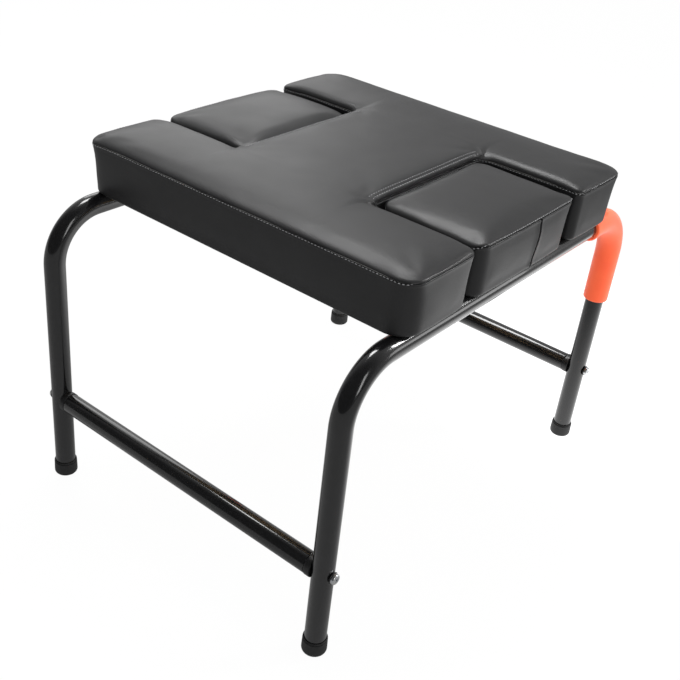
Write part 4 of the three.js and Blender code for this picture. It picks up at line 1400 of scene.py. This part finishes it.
def make_stitching(name, plan, body, cover, turn=1, top_rows=False):
    row = row_on_side(plan, STITCH_DEPTH)
    row = row[np.linalg.norm(np.diff(np.vstack([row, row[:1]]), axis=0), axis=1) > 1e-6]
    outward = outward_of(row)
    on_lip = smooth((np.abs(outward[:, :1]) - 0.5) / 0.45)
    row = row - outward * LIP_INSET_AT_END * on_lip + (0, 0, LIP_RISE_AT_END) * on_lip
    around = (turn, turn, 1)
    on_it, normals = on_cover(cover, row * around)
    points, faces = stitches(on_it, outward * around * (1 - on_lip) + normals * on_lip, True, beside_bridge)
    if top_rows:
        for side, depth in ((s, d) for s in SIDES.values() for d in FELLED_ROWS):
            more, more_faces = stitches(*on_cover(cover, row_on_top(plan, side, depth)), False)
            faces = np.concatenate([faces, more_faces + len(points)])
            points = points + more
    sewn = make_mesh(name, points, faces)
    return finish_piece(sewn, thread, body)


sewn = make_stitching("seat_stitching", main_plan, "stool", covers["seat"], top_rows=True)
for side, x in SIDES.items():
    make_stitching(f"insert_stitching_{side}", insert_plans[side], f"insert_{side}", covers[side], x)
print("stitch faces on the seat:", len(sewn.data.polygons))

# %% [markdown]
# ## Boards, nuts and pins
# The plywood boards, the flanged nuts and the threaded inserts keep their CAD shapes, because flat
# boards and hidden nuts are right as they are. They only get their finishes. The beech pins show when an
# insert pad is lifted, so they are turned again with a softly rounded end.

# %% Finishes for the CAD nodes that stay
kept = {name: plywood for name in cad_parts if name.endswith("_board")}
kept |= {name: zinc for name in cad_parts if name.startswith(("pad_nut", "threaded_insert"))}
for name, finish in kept.items():
    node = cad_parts[name]
    node.data.materials.clear()
    node.data.materials.append(finish)
print("CAD nodes kept:", sorted(kept))

# %% Beech pins
PIN_X, STRAP_Y, PIN_RADIUS, PIN_ROUND = 111.5, 60.0, 4.0, 1.4
PIN_BELOW, PIN_IN_BOARD = 12, 9
pin_low, pin_high = SEAT_BASE - PIN_BELOW, SEAT_BASE + VINYL_THICKNESS + GAP + PIN_IN_BOARD
pin_profile = [(0, pin_low), *arc(PIN_RADIUS - PIN_ROUND, pin_low + PIN_ROUND, PIN_ROUND, -90, 0, 5),
               (PIN_RADIUS, pin_high), (0, pin_high)]
for side, x in SIDES.items():
    for end, y in ENDS.items():
        points, faces = turned(pin_profile, 32)
        pin = make_mesh(f"beech_pin_{side}_{end}", points + (x * PIN_X, y * STRAP_Y, 0), faces)
        finish_piece(pin, beech, f"insert_{side}", [f"insert_{side}_pin_{end}"])
print("pins:", len(SIDES) * len(ENDS), "of", round(pin_high - pin_low, 1), "mm")

# %% [markdown]
# ## Straps under the seat
# Two flat steel straps run under the bridge of the seat. They are cut from bar, drilled, painted with
# the frame and screwed up into the board. A bevel on every edge is enough to make flat bar look real.

# %% Straps
STRAP_X, STRAP_WIDTH, STRAP_THICKNESS, STRAP_CORNER = 125.5, 30.0, 3.0, 4.0
STRAP_SCREW_X = 48.0
PIN_HOLE, WOOD_SCREW_HOLE = 4.5, 2.3
strap_base = RAIL_TOP - STRAP_THICKNESS


def strap_outline(inset):
    half_x, half_y = STRAP_X - STRAP_CORNER, STRAP_WIDTH / 2 - STRAP_CORNER
    rows = []
    for sx, sy, start in ((1, -1, -90), (1, 1, 0), (-1, 1, 90), (-1, -1, 180)):
        rows += arc(sx * half_x, sy * half_y, STRAP_CORNER - inset, start, start + 90, 6)
    return rows


for end, y in ENDS.items():
    layers = [(0, 0.5), (0.15, 0.15), (0.5, 0), (2.5, 0), (2.85, 0.15), (3, 0.5)]
    rows = [[(px, py + y * STRAP_Y, strap_base + z) for px, py in strap_outline(inset)]
            for z, inset in layers]
    count = len(rows[0])
    faces = [tuple(f) for f in grid_faces(len(rows), count)]
    faces += [tuple(range(count))[::-1], tuple(range((len(rows) - 1) * count, len(rows) * count))]
    strap = make_mesh(f"flat_strap_{end}", np.array(rows).reshape(-1, 3), faces)
    drills = []
    for x in SIDES.values():
        for place, radius in ((PIN_X, PIN_HOLE), (STRAP_SCREW_X, WOOD_SCREW_HOLE)):
            drills.append(bar("drill", radius, (x * place, y * STRAP_Y, strap_base - 3),
                              (x * place, y * STRAP_Y, RAIL_TOP + 3)))
    cut_away(strap, drills)
    finish_piece(strap, enamel, "stool", [f"support_strap_{end}"])
print("straps:", len(ENDS), "of", 2 * STRAP_X, "mm")

# %% Screws under the seat, into the boards and up through the rails
head_seat = RAIL_Z + math.sqrt(BORE_RADIUS ** 2 - PAN_RADIUS ** 2) - GAP
SHORT_OF_BOARD_TOP = 1.5
for corner, (x, y) in CORNERS.items():
    make_screw(f"wood_screw_{corner}", f"strap_screw_{corner}", 4.0, 2.6, 2.0, 12.0, (0, 0, -1),
               (x * STRAP_SCREW_X, y * STRAP_Y, strap_base - GAP), tip=3.0, recess=(0.9, 4.4, 1.5))
    make_screw(f"seat_screw_{corner}", f"pad_screw_{corner}", PAN_RADIUS, PAN_HEIGHT, SHANK_RADIUS,
               BOARD_TOP - SHORT_OF_BOARD_TOP - head_seat, (0, 0, -1),
               (x * FRAME_X, y * PAD_SCREW_Y, head_seat))
print("screws under the seat:", 2 * len(CORNERS))

# %% [markdown]
# ## Staples under the hem
# The hem of an upholstered board is stapled. A staple's crown is a short flat wire, sunk slightly in
# the vinyl. They show only from below, but a bare hem looks like a moulded shell.

# %% Staples along the hems
STAPLE_LENGTH, STAPLE_WIRE, STAPLE_PITCH = 10.0, 0.6, 27.0


def staple_row(start, stop):
    """Places along a straight run of hem, with the direction of the run."""
    start, stop = np.array(start, float), np.array(stop, float)
    length = np.linalg.norm(stop - start)
    count = max(int(length // STAPLE_PITCH), 1)
    return [(start + (stop - start) * (i + 0.5) / count, (stop - start) / length) for i in range(count)]


def make_staples(name, runs, body, turn=1, clear=lambda x, y: True):
    points, faces = [], []
    shape = [(-0.5, 0.35), (-0.5, 0.9), (-0.44, 1), (0.44, 1), (0.5, 0.9), (0.5, 0.35)]
    for start, stop in runs:
        for at, way in staple_row(start, stop):
            if not clear(*at):
                continue
            side = np.array([-way[1], way[0]])
            first = len(points)
            for t, deep in shape:
                for s, d in ((-1, 0), (1, 0), (1, 1), (-1, 1)):
                    x, y = at + way * t * STAPLE_LENGTH + side * s * STAPLE_WIRE
                    points.append((x, y, SEAT_BASE + 0.1 - d * deep * STAPLE_WIRE * 0.7))
            faces += [tuple(f + first) for f in grid_faces(len(shape), 4)]
            faces += [(first + 3, first + 2, first + 1, first), tuple(first + 20 + i for i in range(4))]
    staples = make_mesh(name, np.array(points) * (turn, turn, 1), faces)
    return finish_piece(staples, zinc, body)


runs = []
for s in (1, -1):
    runs += [((-190, s * 209), (190, s * 209)), ((s * 114, s * 130), (s * 200, s * 130)),
             ((-s * 114, s * 130), (-s * 200, s * 130)), ((s * 82, -98), (s * 82, 98)),
             ((s * 224, 135), (s * 224, 200)), ((s * 224, -200), (s * 224, -135))]
make_staples("seat_staples", runs, "stool", clear=lambda x, y: abs(abs(x) - FRAME_X) > 7.5 and not (
    abs(abs(y) - STRAP_Y) < 22 and abs(x) < 130))
insert_runs = [((116, -86), (200, -86)), ((116, 86), (200, 86)), ((128, -34), (128, 34))]
for side, x in SIDES.items():
    make_staples(f"insert_staples_{side}", insert_runs, f"insert_{side}", x)
print("staple runs:", len(runs))

# %% [markdown]
# ## Camera
# The camera stands in front of the right corner, above the seat, and is tilted a little about its own
# axis, as the photograph is. Its place was found by matching the stool's own corners to the picture,
# so no lens shift is needed.

# %% Place the camera
PICTURE, SENSOR = 680, 36.0
FOCAL_PIXELS = 997.1
CAMERA_PLACE = (650.2, -914.4, 869.1)
AZIMUTH, PITCH, ROLL = (math.radians(v) for v in (35.54, 31.47, 6.63))

look = Vector((-math.sin(AZIMUTH) * math.cos(PITCH), math.cos(AZIMUTH) * math.cos(PITCH), -math.sin(PITCH)))
level = Vector((math.cos(AZIMUTH), math.sin(AZIMUTH), 0))
upward = level.cross(look)
across = level * math.cos(ROLL) + upward * math.sin(ROLL)
upright = upward * math.cos(ROLL) - level * math.sin(ROLL)

camera = bpy.data.objects.new("camera", bpy.data.cameras.new("camera"))
bpy.context.scene.collection.objects.link(camera)
camera.data.sensor_width = SENSOR
camera.data.lens = FOCAL_PIXELS * SENSOR / PICTURE
turned_to = Matrix((across, upright, -look)).transposed().to_4x4()
camera.matrix_world = Matrix.Translation(Vector(CAMERA_PLACE) * MM) @ turned_to
bpy.context.scene.camera = camera
print("lens:", round(camera.data.lens, 1), "mm")

# %% [markdown]
# ## Floor
# A product picture is taken on white paper that sweeps up behind. To the camera the floor is almost pure
# white and still takes the stool's shadow. The enamel sees it too, in its reflections, and there an
# endless white floor would wash the tubes out. So rays that were mirrored see a dimmer floor with one
# painted pool of light behind the stool. The pool glows from the floor's own emission, not from a lamp,
# and gives the pale lower halves of the rails.

# %% Paper floor
FLOOR_SIZE, WASH_SIZE = 30, 400
CAMERA_SHARE = 0.965
POOL_PLACE, POOL_START, POOL_END = (0.25, 0.55, 0.0), 0.1, 0.8
PAINTED_POOL_LIGHT, FLOOR_LIGHT = 1.5, 0.34
WHITE = (1, 1, 1, 1)


def ray_kinds(tree):
    """Whether a ray comes from the camera, and whether it was mirrored or passed through glass."""
    seen = add_node(tree, "LightPath")
    mirrored = add_node(tree, "Math", {
        0: seen.outputs["Is Glossy Ray"], 1: seen.outputs["Is Transmission Ray"]}, operation="MAXIMUM")
    return seen.outputs["Is Camera Ray"], mirrored


bpy.ops.mesh.primitive_plane_add(size=FLOOR_SIZE)
floor = bpy.context.object
floor.name = "studio_floor"
floor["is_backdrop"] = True
paper, tree, shader, place = start_material("white_paper_floor", {
    "Base Color": linear_colour("#f2f2f2"), "Roughness": 0.9})
wash = add_node(tree, "TexNoise", {"Vector": place, "Scale": repeats(WASH_SIZE), "Detail": 1.0})
vary(tree, shader, roughness=(wash, 0.85, 0.95))

camera_ray, mirrored = ray_kinds(tree)
# Painted light: for mirrored rays the floor's emission is brightest round one place behind the stool and dims
# away from it.
pool = add_node(tree, "VectorMath", {0: place, 1: POOL_PLACE}, operation="DISTANCE")
lit = add_node(tree, "MapRange", {
    "Value": pool, "From Min": POOL_START, "From Max": POOL_END, "To Min": PAINTED_POOL_LIGHT, "To Max": FLOOR_LIGHT},
    interpolation_type="SMOOTHSTEP")
glow = add_node(tree, "Emission", {
    "Color": WHITE, "Strength": add_node(tree, "Math", {0: lit, 1: camera_ray}, operation="MAXIMUM")})
direct = add_node(tree, "Math", {0: camera_ray, 1: CAMERA_SHARE}, operation="MULTIPLY")
share = add_node(tree, "Math", {0: direct, 1: mirrored}, operation="MAXIMUM")
blend = add_node(tree, "MixShader", {0: share, 1: shader, 2: glow})
fill_inputs(tree, tree.nodes["Material Output"], {"Surface": blend})
floor.data.materials.append(paper)
print("floor:", FLOOR_SIZE, "m wide, seen as white by", CAMERA_SHARE)

# %% [markdown]
# ## Lamps
# Five soft panels light the stool at a plain level. The key stands at the rear left and the strongest
# panel hangs overhead, so the tops of the pads return a broad sheen that fades towards the right. A
# strip in front on the right lights the near faces and draws the long streaks on the legs. A second
# strip, behind on the right, draws the streak on the rail, and a low panel beside it lights the ends.

# %% Five area lamps, as (size), watts, place and aim
LAMPS = {
    "key_softbox": ((1.3, 1.0), 6.5, (-1.7, 1.2, 1.3), (0, 0, 0.4)),
    "overhead_softbox": ((1.3, 0.6), 31, (-0.6, 0.52, 2.4), (0, 0, 0.4)),
    "front_strip": ((0.4, 1.2), 6, (2.0, -0.75, 1.2), (0.2, -0.2, 0.3)),
    "rear_strip": ((0.22, 0.6), 13, (1.17, 1.24, 1.47), (0.2, -0.2, 0.4)),
    "low_panel": ((0.65, 0.4), 1.9, (1.3, 1.0, 0.45), (0.2, -0.2, 0.35)),
}
for name, (size, power, at, aim) in LAMPS.items():
    lamp = bpy.data.objects.new(name, bpy.data.lights.new(name, "AREA"))
    bpy.context.scene.collection.objects.link(lamp)
    lamp.data.shape, lamp.data.size, lamp.data.size_y, lamp.data.energy = "RECTANGLE", *size, power
    lamp.location = at
    lamp.rotation_mode = "QUATERNION"
    lamp.rotation_quaternion = (Vector(aim) - Vector(at)).to_track_quat("-Z", "Y")
print("lamps:", list(LAMPS), "in all", sum(lamp[1] for lamp in LAMPS.values()), "watts")

# %% [markdown]
# ## The white room
# Behind the floor the camera sees plain white. The object is lit by a slightly weaker white from all
# sides, and its reflections see a cove that is bright behind the stool and dark in front, since a room
# that is white all round would leave black enamel looking grey.

# %% World
ROOM_LIGHT = 0.9
COVE_WAY, COVE_DARK, COVE_BRIGHT = (-0.2, 0.97, 0.1), 0.05, 0.5
COVE_START, COVE_END = -0.3, 0.7

world = bpy.data.worlds.new("white_room")
bpy.context.scene.world = world
world.use_nodes = True
tree = world.node_tree
tree.nodes.clear()
camera_ray, mirrored = ray_kinds(tree)
way = add_node(tree, "TexCoord").outputs["Generated"]
towards = add_node(tree, "VectorMath", {0: way, 1: COVE_WAY}, operation="DOT_PRODUCT")
lit = add_node(tree, "MapRange", {
    "Value": towards, "From Min": COVE_START, "From Max": COVE_END,
    "To Min": COVE_DARK, "To Max": COVE_BRIGHT},
    interpolation_type="SMOOTHSTEP")
room = add_node(tree, "Background", {"Color": WHITE, "Strength": ROOM_LIGHT})
cove = add_node(tree, "Background", {"Color": WHITE, "Strength": lit})
white = add_node(tree, "Background", {"Color": WHITE, "Strength": 1.0})
dressed = add_node(tree, "MixShader", {0: mirrored, 1: room, 2: cove})
joined = add_node(tree, "MixShader", {0: camera_ray, 1: dressed, 2: white})
add_node(tree, "OutputWorld", {"Surface": joined})
bpy.context.scene.view_settings.view_transform = "Standard"
print("view transform:", bpy.context.scene.view_settings.view_transform)

# %% How far the pieces grow beyond the CAD box
low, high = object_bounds()
beyond = [round((a - b) / MM, 2) for a, b in zip((*cad_low, *high), (*low, *cad_high))]
print("grows beyond the CAD box by mm:", beyond)
